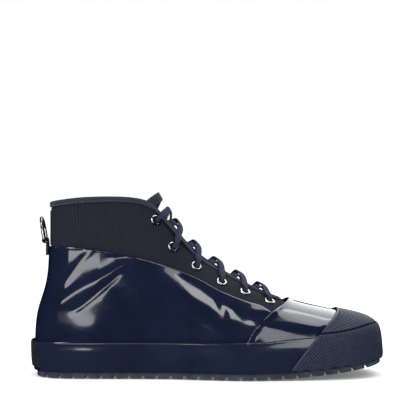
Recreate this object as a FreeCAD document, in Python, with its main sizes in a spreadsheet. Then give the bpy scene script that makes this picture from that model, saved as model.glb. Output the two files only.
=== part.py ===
import FreeCAD, Part
import math
import os

# Right deck boot: a rubber galosh with a laced canvas collar, standing on
# z = 0 with the toe toward +X and the lateral side toward -Y.  Millimetres.

os.makedirs("parts", exist_ok=True)
doc = FreeCAD.newDocument("deck_boot")
V = FreeCAD.Vector

# ---------------------------------------------------------------- dimensions
DIMS = [
    ("sole_gauge", 5.0),
    ("lug_pitch", 11.4),
    ("lug_depth", 2.4),
    ("lug_slot", 3.4),
    ("rubber_gauge", 1.8),
    ("canvas_gauge", 0.9),
    ("lining_gauge", 0.8),
    ("stiffener_gauge", 0.6),
    ("foxing_gauge", 1.7),
    ("cap_gauge", 1.75),
    ("tongue_gauge", 2.5),
    ("tape_gauge", 0.7),
    ("tape_depth", 4.5),
    ("eyelet_flange", 9.6),
    ("eyelet_hole", 5.0),
    ("lace_breadth", 6.0),
    ("lace_gauge", 1.7),
    ("ring_wire", 2.6),
    ("ring_breadth", 21.0),
    ("loop_breadth", 12.0),
    ("loop_bore", 3.3),
    ("prism_breadth", 160.0),
    ("outline_rise", 40.0),
]
sheet = doc.addObject("Spreadsheet::Sheet", "dims")
for row, (alias, number) in enumerate(DIMS, start=1):
    sheet.set("A%d" % row, alias)
    sheet.set("B%d" % row, str(number))
    sheet.setAlias("B%d" % row, alias)
doc.recompute()
D = dict(DIMS)

# ------------------------------------------------- the last: a smooth surface
# The crest runs down the shin, over the instep and along the vamp as four
# blended slopes, each a point (x, z) and a slope angle in degrees.
CREST = [(90.0, 56.6, 11.2), (35.0, 77.0, 29.4), (-17.0, 111.5, 50.0), (-41.0, 145.5, 63.0)]
CREST_BLEND = 4.0
SPRING_START = 25.0
SPRING_RADIUS = 680.0
SPRING_FADE = 50.0


def logistic(t):
    return 1 / (1 + math.exp(-t))


def smoother(t):
    t = min(1.0, max(0.0, t))
    return t ** 3 * (t * (6 * t - 15) + 10)


def ground(x):
    """Height of the underside above the floor: the toe spring."""
    return max(0.0, x - SPRING_START) ** 2 / (2 * SPRING_RADIUS)


def level_z(x, h):
    """Height at x of the level line that runs h above the underside."""
    return h + ground(x) * max(0.0, 1 - h / SPRING_FADE)


def level_of(x, z):
    """The level that passes through (x, z)."""
    lift = ground(x)
    if z >= SPRING_FADE:
        return z
    return (z - lift) / (1 - lift / SPRING_FADE)


def depth_share(x, z):
    """Depth inside the side outline, as a share of the roll-over width."""
    ways = []
    for px, pz, slope in CREST:
        a = math.radians(slope)
        ways.append(-((x - px) * math.sin(a) + (z - pz) * math.cos(a)) / CREST_BLEND)
    top = max(ways)
    crest = CREST_BLEND * (top + math.log(sum(math.exp(w - top) for w in ways)))
    roll = 42 + 34 * math.exp(-((x - 15) / 55) ** 2) + 10 * logistic(-(x + 40) / 15)
    lean = math.radians(4)
    toe = -((x - 144.3) * math.cos(lean) + (z - 24) * math.sin(lean))
    heel = x + 139 - 6 * math.tanh((z - 65) / 18) - 4 * math.exp(-max(z, -10) / 7)
    shares = [crest / roll, toe / 55, heel / 36]
    low = min(shares)
    return low - 0.11 * math.log(sum(math.exp((low - s) / 0.11) for s in shares))


def edge_factor(x, z):
    return math.sqrt(max(0.0, 1 - math.exp(-3 * max(0.0, depth_share(x, z)))))


def half_width(x, z):
    foot = 35.5 + 14.5 * logistic((x - 8) / 17)
    shaft = 33 + 2 * ((z - 100) / 50) ** 2
    blend = smoother((z - 45) / 70)
    tuck = 1 - 0.06 * math.exp(-(z - ground(x)) / 6)
    return (foot + (shaft - foot) * blend) * tuck


def crest_shift(x):
    """Sideways place of the crest line; it leans to the medial side."""
    return 7 * logistic((x + 15) / 14)


def base_shift(x):
    return -5.5 * math.exp(-((x - 20) / 42) ** 2) + 9 * logistic((x - 95) / 22)


def bisect(test, low, high):
    """The place between low (test true) and high (test false)."""
    for _ in range(48):
        middle = (low + high) / 2
        if test(middle):
            low = middle
        else:
            high = middle
    return (low + high) / 2


ENDS = {}


def level_ends(h):
    key = round(h, 6)
    if key not in ENDS:
        front = bisect(lambda x: depth_share(x, level_z(x, h)) > 0, -60.0, 165.0)
        back = bisect(lambda x: depth_share(x, level_z(x, h)) > 0, -60.0, -175.0)
        ENDS[key] = (back, front)
    return ENDS[key]


def from_crest_line(x, z, side):
    """Sideways place of the skin, measured from the crest line."""
    e = edge_factor(x, z)
    return (base_shift(x) - crest_shift(x)) * e * e + side * half_width(x, z) * e


def skin(u, h):
    """Point of the last at angle u (0 toe, -pi/+pi heel, minus lateral)."""
    back, front = level_ends(h)
    x = (back + front) / 2 + (front - back) / 2 * math.cos(u)
    z = level_z(x, h)
    side = 1 if math.sin(u) >= 0 else -1
    return V(x, crest_shift(x) + from_crest_line(x, z, side), z)


def outward(u, h):
    along = skin(u + 0.004, h) - skin(u - 0.004, h)
    upward = skin(u, h + 0.06) - skin(u, h - 0.06)
    return along.cross(upward).normalize()


def at(u, h, t):
    """Point t outside the last."""
    return skin(u, h) + outward(u, h) * t


def angle_at_x(x, h, side):
    back, front = level_ends(h)
    share = (x - (back + front) / 2) / ((front - back) / 2)
    return side * math.acos(min(1.0, max(-1.0, share)))


def side_distance(u, h):
    p = skin(u, h)
    return abs(p.y - crest_shift(p.x))


def angle_at_distance(distance, h, side):
    """Angle where the skin is a sideways distance from the crest line."""
    return side * bisect(lambda u: side_distance(side * u, h) < distance, 1e-6, math.pi / 2)


# ------------------------------------------------------------ solid builders
def fit(grid):
    surface = Part.BSplineSurface()
    surface.interpolate(grid)
    return surface


def sheet_solid(outer, inner):
    """Closed solid between two grids of points."""
    a = fit(outer)
    b = fit(inner)
    faces = [a.toShape(), b.toShape()]
    u0, u1, v0, v1 = a.bounds()
    p0, p1, q0, q1 = b.bounds()
    pairs = [
        (a.uIso(u0), b.uIso(p0)),
        (a.uIso(u1), b.uIso(p1)),
        (a.vIso(v0), b.vIso(q0)),
        (a.vIso(v1), b.vIso(q1)),
    ]
    for first, second in pairs:
        faces.append(Part.makeRuledSurface(first.toShape(), second.toShape()))
    return close_faces(faces)


def close_faces(faces):
    shell = Part.makeShell(faces)
    shell.sewShape()
    solid = Part.makeSolid(shell)
    if solid.Volume < 0:
        solid.reverse()
    return solid


def spread(first, last, count):
    return [first + (last - first) * k / (count - 1) for k in range(count)]


def panel(angles, levels, outer, inner, nu=36, nv=16):
    """Curved sheet on the last.

    angles and levels give the (low, high) limits; angle limits may depend on
    the level, level limits on the angle share; outer and inner offsets may
    depend on (u, h)."""
    def value(limit, *where):
        return limit(*where) if callable(limit) else limit

    grids = ([], [])
    for i in range(nu):
        share = i / (nu - 1)
        lines = ([], [])
        for j in range(nv):
            low = value(levels[0], share)
            high = value(levels[1], share)
            h = low + (high - low) * j / (nv - 1)
            left = value(angles[0], h)
            right = value(angles[1], h)
            u = left + (right - left) * share
            for line, offset in zip(lines, (outer, inner)):
                line.append(at(u, h, value(offset, u, h)))
        grids[0].append(lines[0])
        grids[1].append(lines[1])
    return sheet_solid(grids[0], grids[1])


def long_faces(sections, stretch):
    """Faces that run lengthwise through closed sections."""
    count = len(sections[0])
    marks = [0.0]
    for first, second in zip(sections, sections[1:]):
        step = (second[0] + second[count // 2] - first[0] - first[count // 2]).Length
        marks.append(marks[-1] + max(0.01, step))
    curves = []
    for k in range(count):
        curve = Part.BSplineCurve()
        curve.interpolate(Points=[section[k] for section in sections], Parameters=marks)
        curves.append(curve)
    faces = []
    last = len(marks) - 1
    for start in range(0, last, stretch):
        low = marks[start]
        high = marks[min(last, start + stretch)]
        edges = [curve.toShape(low, high) for curve in curves]
        for k in range(count):
            faces.append(Part.makeRuledSurface(edges[k], edges[(k + 1) % count], 1))
    return faces


def strip_solid(sections):
    """Solid swept through closed sections."""
    faces = long_faces(sections, 16)
    for section in (sections[0], sections[-1]):
        faces.append(Part.Face(Part.makePolygon(section + [section[0]])))
    return close_faces(faces)


def feature(name, shape):
    item = doc.addObject("Part::Feature", name)
    item.Shape = shape
    return item


def boolean(kind, name, base, tool):
    item = doc.addObject("Part::" + kind, name)
    item.Base = base
    item.Tool = tool
    doc.recompute()
    return item


def plane_of(body, role):
    return next(f for f in body.Origin.OriginFeatures if f.Role == role)


def spline_edges(points, closed=False):
    curve = Part.BSplineCurve()
    curve.interpolate(Points=[V(a, b, 0) for a, b in points], PeriodicFlag=closed)
    return curve


def padded_body(name, plane, geometry, length, both_ways):
    """PartDesign body: one sketch, one pad whose length is a named value."""
    body = doc.addObject("PartDesign::Body", name)
    doc.recompute()
    sketch = body.newObject("Sketcher::SketchObject", name + "_sketch")
    sketch.AttachmentSupport = [(plane_of(body, plane), "")]
    sketch.MapMode = "FlatFace"
    for item in geometry:
        sketch.addGeometry(item)
    doc.recompute()
    pad = body.newObject("PartDesign::Pad", name + "_pad")
    pad.Profile = sketch
    pad.Midplane = both_ways
    pad.setExpression("Length", "dims." + length)
    doc.recompute()
    return body


def outline_of(points):
    """Closed run of straight lines through sketch points."""
    lines = []
    for first, second in zip(points, points[1:] + points[:1]):
        lines.append(Part.LineSegment(V(first[0], first[1], 0), V(second[0], second[1], 0)))
    return lines


def region(name, curve, rest):
    """Side-view prism: a smooth seam curve closed by straight lines."""
    corners = [curve[-1]] + rest + [curve[0]]
    geometry = [spline_edges(curve)]
    for first, second in zip(corners, corners[1:]):
        geometry.append(Part.LineSegment(V(first[0], first[1], 0), V(second[0], second[1], 0)))
    return padded_body(name, "XZ_Plane", geometry, "prism_breadth", True)


NODES = []


def node(item, name):
    item.Label = name
    NODES.append(item)
    return item


# ------------------------------------------------------------- sole and base
def plan_outline(h, offset, count=56):
    points = []
    for k in range(count):
        p = at(-math.pi + 2 * math.pi * k / count, h, offset)
        points.append((p.x, p.y))
    return spline_edges(points, closed=True)


FLAT_END = 25.0


def sole_layer(name, level, offset, low, high):
    """Layer between two levels inside a plan outline."""
    outline = padded_body(name + "_plan", "XY_Plane", [plan_outline(level, offset)],
                          "outline_rise", False)
    stations = spread(FLAT_END, 160.0, 12)
    geometry = []
    for h in (low, high):
        geometry.append(Part.LineSegment(V(-160, h, 0), V(FLAT_END, h, 0)))
        geometry.append(spline_edges([(x, level_z(x, h)) for x in stations]))
    for x in (-160.0, 160.0):
        geometry.append(Part.LineSegment(V(x, level_z(x, low), 0), V(x, level_z(x, high), 0)))
    band = padded_body(name + "_side", "XZ_Plane", geometry, "prism_breadth", True)
    return boolean("Common", name + "_layer", outline, band)


sole_block = sole_layer("sole_block", 3.0, 0.5, 0.0, D["sole_gauge"])
slots = []
station = -132.6
while station < 140:
    z = ground(station)
    half = D["lug_slot"] / 2
    slots += outline_of([(station - half, z - 3), (station + half, z - 3),
                         (station + half * 0.6, z + D["lug_depth"]),
                         (station - half * 0.6, z + D["lug_depth"])])
    station += D["lug_pitch"]
slot_body = padded_body("lug_slots", "XZ_Plane", slots, "prism_breadth", True)
node(boolean("Cut", "outsole", sole_block, slot_body), "outsole")
node(sole_layer("midsole", 9.0, -3.4, 5.2, 13.0), "midsole")
node(sole_layer("insole_board", 14.0, -3.4, 13.2, 15.0), "insole_board")
node(sole_layer("footbed", 17.0, -6.6, 15.2, 19.0), "footbed")

# --------------------------------------------------- side-view seams (x, z)
GALOSH_SEAM = [(-134.0, 107.0), (-102.7, 106.2), (-72.4, 101.5), (-40.4, 93.5), (-8.4, 81.3),
               (8.5, 72.2), (30.8, 63.1), (44.2, 58.9), (51.8, 53.9)]
VAMP_SEAM = [(66.3, 62.1), (51.9, 53.4), (37.8, 39.9), (31.5, 29.7), (23.1, 17.2)]
CAP_SEAM = [(108.7, 53.6), (94.6, 39.9), (88.9, 33.8), (78.9, 23.2), (67.4, 8.9)]
FAR = 170.0
SEAM_GAP = 0.15


def shifted(points, dx, dz):
    return [(x + dx, z + dz) for x, z in points]


def collar_line(x):
    """Finished top edge of the collar, binding included."""
    ahead = max(0.0, x + 77)
    behind = min(0.0, x + 77)
    return 148.3 - 1.8 * (ahead / 23) ** 3.4 - 0.00135 * behind ** 2


def throat_half(x):
    """Half the opening between the two facings."""
    return 10 + 2 * smoother((62 - x) / 110)


seam_back = [(-FAR, 107.5)] + GALOSH_SEAM
quarter_front = shifted(VAMP_SEAM[1:], -SEAM_GAP, 0)
quarter_geometry = [spline_edges(seam_back)]
quarter_geometry += [Part.LineSegment(V(51.8, 53.9, 0), V(quarter_front[0][0], quarter_front[0][1], 0))]
quarter_geometry += [spline_edges(quarter_front)]
quarter_corners = [quarter_front[-1], (14.0, 0.0), (-FAR, 0.0), (-FAR, 107.5)]
for first, second in zip(quarter_corners, quarter_corners[1:]):
    quarter_geometry.append(Part.LineSegment(V(first[0], first[1], 0), V(second[0], second[1], 0)))
quarter_region = padded_body("quarter_region", "XZ_Plane", quarter_geometry, "prism_breadth", True)
vamp_region = region("vamp_region", shifted(VAMP_SEAM, SEAM_GAP, 0),
                     [(14.3, 0.0), (FAR, 0.0), (FAR, 75.0), (72.0, 68.0)])
cap_region = region("cap_region", CAP_SEAM, [(62.0, 0.0), (FAR, 0.0), (FAR, 75.0), (118.0, 62.0)])

# ------------------------------------------------------------ rubber galosh
HEEL_GAP = 0.0035
RUBBER_IN = -D["rubber_gauge"]
UPPER_FOOT = 5.3
node(boolean("Common", "quarter_lateral",
             feature("quarter_lateral_skin", panel((-math.pi + HEEL_GAP, -0.3),
                                                   (UPPER_FOOT, 109.0), 0.0, RUBBER_IN, 44, 26)),
             quarter_region), "quarter_lateral")
node(boolean("Common", "vamp",
             feature("vamp_skin", panel((-2.1, 2.1), (UPPER_FOOT, 66.0), 0.0, RUBBER_IN, 61, 30)),
             vamp_region), "vamp")


def foxing_top(share):
    x = 144 * math.cos(math.pi * (2 * share - 1))
    return 29.6 + 3.4 * logistic((x - 58) / 9) + 6.5 * logistic((x - 126) / 9)


FOXING_IN = 0.3
FOXING_OUT = FOXING_IN + D["foxing_gauge"]
foxing_halves = []
for low, high in ((-1.0, 0.0), (0.0, 1.0)):
    limits = (low * (math.pi - HEEL_GAP), high * (math.pi - HEEL_GAP))
    top = (lambda share, low=low: foxing_top((low + share + 1) / 2))
    foxing_halves.append(panel(limits, (UPPER_FOOT, top), FOXING_OUT, FOXING_IN, 41, 8))
node(feature("foxing_strip", foxing_halves[0].fuse(foxing_halves[1])), "foxing_strip")


def foxing_edge(u, h):
    """1 over the foxing strip, 0 above its top line."""
    return logistic((foxing_top((u / math.pi + 1) / 2) + 2.2 - h) / 0.7)


def cap_inner(u, h):
    return 0.25 + 2.05 * foxing_edge(u, h)


def cap_outer(u, h):
    return 0.2 + D["cap_gauge"] + 1.25 * foxing_edge(u, h)


node(boolean("Common", "toe_cap",
             feature("toe_cap_skin", panel((-1.2, 1.2), (UPPER_FOOT + 0.4, 54.2), cap_outer, cap_inner,
                                           61, 34)), cap_region), "toe_cap")


def heel_patch_top(share):
    return 29.3 - 2.5 * abs(2 * share - 1) ** 4


node(feature("heel_patch", panel((math.pi - 0.33, math.pi + 0.33), (8.0, heel_patch_top),
                                 FOXING_OUT + 1.1, FOXING_OUT + 0.3, 25, 8)), "heel_patch")

# --------------------------------------------- crest coordinates for lacing
CREST_TABLE = []
for k in range(105):
    z = 58.0 + k
    x = bisect(lambda x: depth_share(x, z) > 0, -60.0, 165.0)
    run = 0.0
    if CREST_TABLE:
        run = CREST_TABLE[-1][2] + math.hypot(x - CREST_TABLE[-1][0], z - CREST_TABLE[-1][1])
    CREST_TABLE.append((x, z, run))


def crest_point(s):
    first = CREST_TABLE[0]
    second = CREST_TABLE[1]
    for place in CREST_TABLE[2:]:
        if s > second[2]:
            first = second
            second = place
    share = (s - first[2]) / (second[2] - first[2])
    return (first[0] + (second[0] - first[0]) * share,
            first[1] + (second[1] - first[1]) * share)


def crest_direction(s):
    a = crest_point(s - 3)
    b = crest_point(s + 3)
    size = math.hypot(b[0] - a[0], b[1] - a[1])
    return (b[0] - a[0]) / size, (b[1] - a[1]) / size


def angle_and_level(x, z, side):
    h = level_of(x, z)
    return angle_at_x(x, h, side), h


def saddle(s, d):
    """Angle and level at crest run s and signed sideways distance d."""
    cx, cz = crest_point(s)
    tx, tz = crest_direction(s)
    side = 1 if d >= 0 else -1

    def short(depth):
        return abs(from_crest_line(cx - tz * depth, cz + tx * depth, side)) < abs(d)

    depth = bisect(short, 0.0, 45.0)
    return angle_and_level(cx - tz * depth, cz + tx * depth, side)


def lace_point(s, d, t):
    u, h = saddle(s, d)
    return at(u, h, t)


def run_at(x, z):
    """Crest run whose normal passes through (x, z)."""
    def before(s):
        cx, cz = crest_point(s)
        tx, tz = crest_direction(s)
        return (x - cx) * tx + (z - cz) * tz > 0
    return bisect(before, 4.0, CREST_TABLE[-1][2] - 4)


# ------------------------------------------------------------ canvas collar
CANVAS_OUT = -1.95
CANVAS_IN = CANVAS_OUT - D["canvas_gauge"]
STIFF_OUT = -2.95
STIFF_IN = STIFF_OUT - D["stiffener_gauge"]
LINING_OUT = -3.65
LINING_IN = LINING_OUT - D["lining_gauge"]
EDGE_MARGIN = D["tape_gauge"] + 1.6
LINING_MARGIN = EDGE_MARGIN + 0.7
EYELETS = [(52.1, 63.6), (31.8, 71.3), (12.4, 79.3), (-8.3, 92.0), (-27.3, 107.3), (-41.5, 129.2)]


def throat_slot(name, margin):
    """Prism of the throat seen from above, wider than it by a margin."""
    edges = {-1: [], 1: []}
    for x in spread(-75.0, 60.0, 10):
        for side in (-1, 1):
            edges[side].append((x, crest_shift(x) + side * (throat_half(x) + margin)))
    lateral_foot, medial_foot = edges[-1][-1], edges[1][-1]
    nose = Part.Arc(V(lateral_foot[0], lateral_foot[1], 0), V(70.0, crest_shift(70), 0),
                    V(medial_foot[0], medial_foot[1], 0))
    back = Part.LineSegment(V(edges[-1][0][0], edges[-1][0][1], 0), V(edges[1][0][0], edges[1][0][1], 0))
    slot = padded_body(name, "XY_Plane", [spline_edges(edges[-1]), nose, spline_edges(edges[1]), back],
                       "prism_breadth", False)
    slot.Placement = FreeCAD.Placement(V(0, 0, 50), FreeCAD.Rotation())
    return slot


def collar_trim(margin):
    """Collar line in the side view, lowered by a margin."""
    return [(x, collar_line(x) - margin) for x in spread(-FAR, -36.0, 16)]


canvas_slot = throat_slot("canvas_slot", EDGE_MARGIN)
lining_slot = throat_slot("lining_slot", LINING_MARGIN)
canvas_region = region("canvas_region", collar_trim(EDGE_MARGIN),
                       [(-20.0, 133.0), (78.0, 100.0), (78.0, 68.0), (54.0, 45.0), (38.0, 51.0),
                        (5.0, 64.0), (-36.0, 83.0), (-72.0, 91.0), (-FAR, 98.0)])
lining_region = region("lining_region", collar_trim(LINING_MARGIN),
                       [(-20.0, 133.0), (FAR, 100.0), (FAR, 0.0), (-FAR, 0.0)])


SIDES = [("lateral", -1), ("medial", 1)]
PLACES = {}
for label, side in SIDES:
    PLACES[side] = []
    for x, z in EYELETS:
        # The medial side is steeper, so its eyelets are kept clear of the binding.
        clear = throat_half(x) + D["tape_depth"] + D["eyelet_flange"] / 2 + 0.35
        distance = side_distance(*angle_and_level(x, z, side))
        PLACES[side].append((run_at(x, z), max(distance, clear)))


def holes(side, radius=3.0):
    """Bores through the facing, square to the skin at each eyelet."""
    cutters = []
    for s, d in PLACES[side]:
        u, h = saddle(s, side * d)
        cutters.append(Part.makeCylinder(radius, 12.0, at(u, h, -9.0), outward(u, h)))
    return Part.makeCompound(cutters)


# The rubber edge is scalloped where it would run under the medial eyelets.
medial_trim = boolean("Common", "quarter_medial_trim",
                      feature("quarter_medial_skin", panel((0.3, math.pi - HEEL_GAP), (UPPER_FOOT, 109.0),
                                                           0.0, RUBBER_IN, 44, 26)), quarter_region)
scallops = feature("eyelet_scallops", holes(1, D["eyelet_flange"] / 2 + 0.4))
node(boolean("Cut", "quarter_medial", medial_trim, scallops), "quarter_medial")


for label, side in SIDES:
    bores = feature("bores_" + label, holes(side))
    limits = [side * 0.006, side * (math.pi - HEEL_GAP)]
    limits.sort()
    skins = {
        "canvas": ((50.0, 152.0), CANVAS_OUT, CANVAS_IN, canvas_region, canvas_slot),
        "lining": ((15.6, 152.0), LINING_OUT, LINING_IN, lining_region, lining_slot),
    }
    for kind in ("canvas", "lining"):
        levels, outer, inner, cut, slot = skins[kind]
        full = feature(kind + "_skin_" + label, panel(limits, levels, outer, inner, 44, 40))
        trimmed = boolean("Common", kind + "_trim_" + label, full, cut)
        opened = boolean("Cut", kind + "_open_" + label, trimmed, slot)
        node(boolean("Cut", kind + "_" + label, opened, bores), kind + "_" + label)
    stay_near = (lambda h, side=side: angle_at_distance(throat_half(skin(0, h).x - 12) + 4, h, side))
    stay_far = (lambda h, side=side: angle_at_distance(31.0, h, side))
    stay_limits = (stay_near, stay_far) if side > 0 else (stay_far, stay_near)
    stay = feature("eyestay_skin_" + label, panel(stay_limits, (67.0, 136.0), STIFF_OUT, STIFF_IN,
                                                  8, 24))
    node(boolean("Cut", "eyestay_" + label, stay, bores), "eyestay_" + label)

heel_counter = panel((math.pi - 1.0, math.pi + 1.0),
                     (15.6, lambda share: 64 - 60 * (share - 0.5) ** 2), STIFF_OUT, STIFF_IN, 31, 12)
node(feature("heel_counter", heel_counter), "heel_counter")
toe_puff = panel((lambda h: angle_at_x(100, h, -1), lambda h: angle_at_x(100, h, 1)),
                 (15.6, 50.0), STIFF_OUT + 0.5, STIFF_IN + 0.5, 41, 16)
node(feature("toe_puff", toe_puff), "toe_puff")


def heel_angle(width, h):
    """Angle short of the heel line where the skin is width off centre."""
    return math.pi - bisect(lambda a: abs(skin(math.pi - a, h).y) < width, 1e-4, 1.5)


backstay = panel((lambda h: heel_angle(8.0, h), lambda h: 2 * math.pi - heel_angle(8.0, h)),
                 (108.0, 137.0), CANVAS_OUT + 0.9, CANVAS_OUT + 0.06, 15, 8)
node(feature("backstay", backstay), "backstay")


# ------------------------------------------- binding folded over the edge
def collar_level(u):
    h = 145.0
    for _ in range(12):
        h = collar_line(skin(u, h).x)
    return h


def facing_place(s, side):
    """Edge of the facing at crest run s."""
    def inside(d):
        u, h = saddle(s, side * d)
        return d < throat_half(skin(u, h).x)
    return saddle(s, side * bisect(inside, 2.0, 25.0))


def collar_corner(side):
    """Crest run where the facing edge meets the collar line."""
    def below(s):
        u, h = facing_place(s, side)
        p = skin(u, h)
        return p.z < collar_line(p.x)
    return bisect(below, 110.0, 160.0)


def edge_places(side):
    """Edge from the foot of the facing, up and round to the heel."""
    corner = collar_corner(side)
    places = [facing_place(s, side) for s in spread(24.0, corner - 4.5, 27)]
    u_corner = facing_place(corner, side)[0]
    start = side * (abs(u_corner) + 0.14)
    for u in spread(start, side * (math.pi - 0.12), 26):
        places.append((u, collar_level(u)))
    return places


def step_on_skin(u, h, du, dh, side_step):
    """Unit moves on the skin: along the path and square to it."""
    along = (skin(u + du * 0.01, h + dh * 0.01) - skin(u - du * 0.01, h - dh * 0.01)).normalize()
    square = outward(u, h).cross(along) * side_step
    wide = (skin(u + 0.004, h) - skin(u - 0.004, h)) * 125
    tall = (skin(u, h + 0.06) - skin(u, h - 0.06)) * (1 / 0.12)
    ww, wt, tt = wide.dot(wide), wide.dot(tall), tall.dot(tall)
    sw, st = square.dot(wide), square.dot(tall)
    size = ww * tt - wt * wt
    return (sw * tt - st * wt) / size, (st * ww - sw * wt) / size


def folded_tape(places, profile, side_step):
    """Strip whose profile is (distance in from the edge, offset)."""
    sections = []
    for k, (u, h) in enumerate(places):
        before = places[max(0, k - 1)]
        after = places[min(len(places) - 1, k + 1)]
        du, dh = step_on_skin(u, h, after[0] - before[0], after[1] - before[1], side_step)
        sections.append([at(u + du * b, h + dh * b, t) for b, t in profile])
    return sections


TAPE = D["tape_gauge"]
TAPE_OUT = CANVAS_OUT + 0.3 + TAPE
TAPE_IN = LINING_IN - 0.3 - TAPE
DEEP = D["tape_depth"]
FOLD = [(DEEP, TAPE_OUT), (0.0, TAPE_OUT), (0.0, TAPE_IN), (DEEP, TAPE_IN),
        (DEEP, TAPE_IN + TAPE), (TAPE, TAPE_IN + TAPE), (TAPE, TAPE_OUT - TAPE),
        (DEEP, TAPE_OUT - TAPE)]
FOLD_CAPS = [(0, 1, 6, 7), (1, 2, 5, 6), (2, 3, 4, 5)]


def folded_solid(sections):
    faces = long_faces(sections, 8)
    for section in (sections[0], sections[-1]):
        for a, b, c, d in FOLD_CAPS:
            faces.append(Part.makeRuledSurface(Part.makeLine(section[a], section[b]),
                                               Part.makeLine(section[d], section[c])))
    return close_faces(faces)


lateral_edge = edge_places(-1)
medial_edge = edge_places(1)
lateral_half = folded_tape(lateral_edge, FOLD, 1)
medial_half = folded_tape(medial_edge, FOLD, -1)
heel_place = [(math.pi, collar_level(math.pi))]
medial_edge_on = medial_edge[-2:] + heel_place + [(2 * math.pi + u, h) for u, h in lateral_edge[:-3:-1]]
heel_half = folded_tape(medial_edge_on, FOLD, -1)[2:3]
binding_sections = medial_half + heel_half + lateral_half[::-1]
node(feature("collar_binding", folded_solid(binding_sections)), "collar_binding")

# ------------------------------------------------------------------- tongue
TONGUE_HALF = 21.0
TONGUE_ROLL = 15.0
TONGUE_LOW = 12.0
TONGUE_TOP = 164.0


def tongue_cover(s, d):
    """Offset of the tongue's upper face."""
    padding = 0.6 * smoother((s - 40) / 25) * max(0.0, 1 - (d / TONGUE_ROLL) ** 2) ** 2
    roll = 9.05 * smoother((s - 148.5) / 10) * max(0.0, 1 - (d / TONGUE_ROLL) ** 2) ** 2
    return LINING_IN - 4.35 + padding + roll


def tongue_grid(lift, reach=1.0, low=TONGUE_LOW, high=TONGUE_TOP, rows=30):
    grid = []
    for q in spread(-1.0, 1.0, 15):
        top = high - 5.0 * q * q
        bottom = low + 5.0 * q * q if low == TONGUE_LOW else top - (high - low)
        line = []
        for s in spread(bottom, top, rows):
            width = reach * (TONGUE_HALF - 5.5 * (1 - smoother((s - 12) / 40)))
            d = q * width
            line.append(lace_point(s, d, tongue_cover(s, d) + lift))
        grid.append(line)
    return grid


tongue_shape = sheet_solid(tongue_grid(0.0), tongue_grid(-D["tongue_gauge"]))
node(feature("tongue", tongue_shape), "tongue")

TOP_HEM = 8.0
hem_outer = tongue_grid(1.25, 0.97, TONGUE_TOP - TOP_HEM, TONGUE_TOP, 6)
hem_inner = tongue_grid(0.4, 0.97, TONGUE_TOP - TOP_HEM, TONGUE_TOP, 6)
node(feature("tongue_hem", sheet_solid(hem_outer, hem_inner)), "tongue_hem")

# ------------------------------------------------------------------ eyelets
eyelet_body = doc.addObject("PartDesign::Body", "eyelet_master")
doc.recompute()
eyelet_sketch = eyelet_body.newObject("Sketcher::SketchObject", "eyelet_sketch")
eyelet_sketch.AttachmentSupport = [(plane_of(eyelet_body, "XZ_Plane"), "")]
eyelet_sketch.MapMode = "FlatFace"
bore = D["eyelet_hole"] / 2
rim = D["eyelet_flange"] / 2
face = CANVAS_OUT + 0.2
tail = LINING_IN - 0.45
eyelet_outline = [(bore, face + 0.45), (bore + 0.7, face + 0.85), (rim - 0.7, face + 0.85),
                  (rim, face + 0.25), (rim, face), (bore + 0.4, face), (bore + 0.4, tail),
                  (rim - 0.9, tail), (rim - 0.9, tail - 0.35), (bore, tail - 0.35)]
for item in outline_of(eyelet_outline):
    eyelet_sketch.addGeometry(item)
doc.recompute()
turn = eyelet_body.newObject("PartDesign::Revolution", "eyelet_turn")
turn.Profile = eyelet_sketch
turn.ReferenceAxis = (eyelet_sketch, ["V_Axis"])
turn.Angle = 360
doc.recompute()


def stand_on_skin(shape, u, h):
    copy = shape.copy()
    turned = FreeCAD.Rotation(V(0, 0, 1), outward(u, h))
    copy.Placement = FreeCAD.Placement(skin(u, h), turned)
    return copy


for label, side in SIDES:
    group = [stand_on_skin(eyelet_body.Shape, *saddle(s, side * d)) for s, d in PLACES[side]]
    node(feature("eyelets_" + label, Part.makeCompound(group)), "eyelets_" + label)

# --------------------------------------------------------------------- lace
UNDER = LINING_IN - 2.25
OVER = TAPE_OUT + 1.15
TUCK = OVER - 3.6


def crossing(near, far, high):
    """Way-points (run, signed share side, distance, offset) from the bore of
    one eyelet, over the crest and under the other facing to the next bore."""
    (s0, d0), (s1, d1) = near, far
    g0 = throat_half(crest_point(s0)[0])
    g1 = throat_half(crest_point(s1)[0])
    if high:
        ahead, middle, behind = OVER + 1.6, OVER + 2.4, OVER + 1.75
    else:
        ahead, middle, behind = OVER - 0.1, OVER - 0.4, OVER - 0.85
    steps = [
        (-(d0 - 0.1), 0.00, (CANVAS_OUT + LINING_IN) / 2),
        (-(d0 - 0.2), 0.00, CANVAS_OUT + 0.9),
        (-(d0 - 1.5), 0.02, OVER + 0.3),
        (-(d0 - 4.2), 0.08, OVER + 0.45),
        (-(g0 + 2.0), 0.20, OVER + 0.3),
        (-g0 * 0.52, 0.34, ahead),
        (0.0, 0.50, middle),
        (g1 * 0.46, 0.62, behind),
        (g1 * 0.69, 0.71, behind * 0.45 + UNDER * 0.55),
        (g1 - 1.9, 0.79, UNDER),
        (d1 - 4.0, 0.92, UNDER),
        (d1 - 1.8, 0.97, UNDER - 0.05),
        (d1 - 0.4, 1.00, LINING_IN - 0.85),
    ]
    return [(s0 + (s1 - s0) * share, distance, offset) for distance, share, offset in steps]


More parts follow.
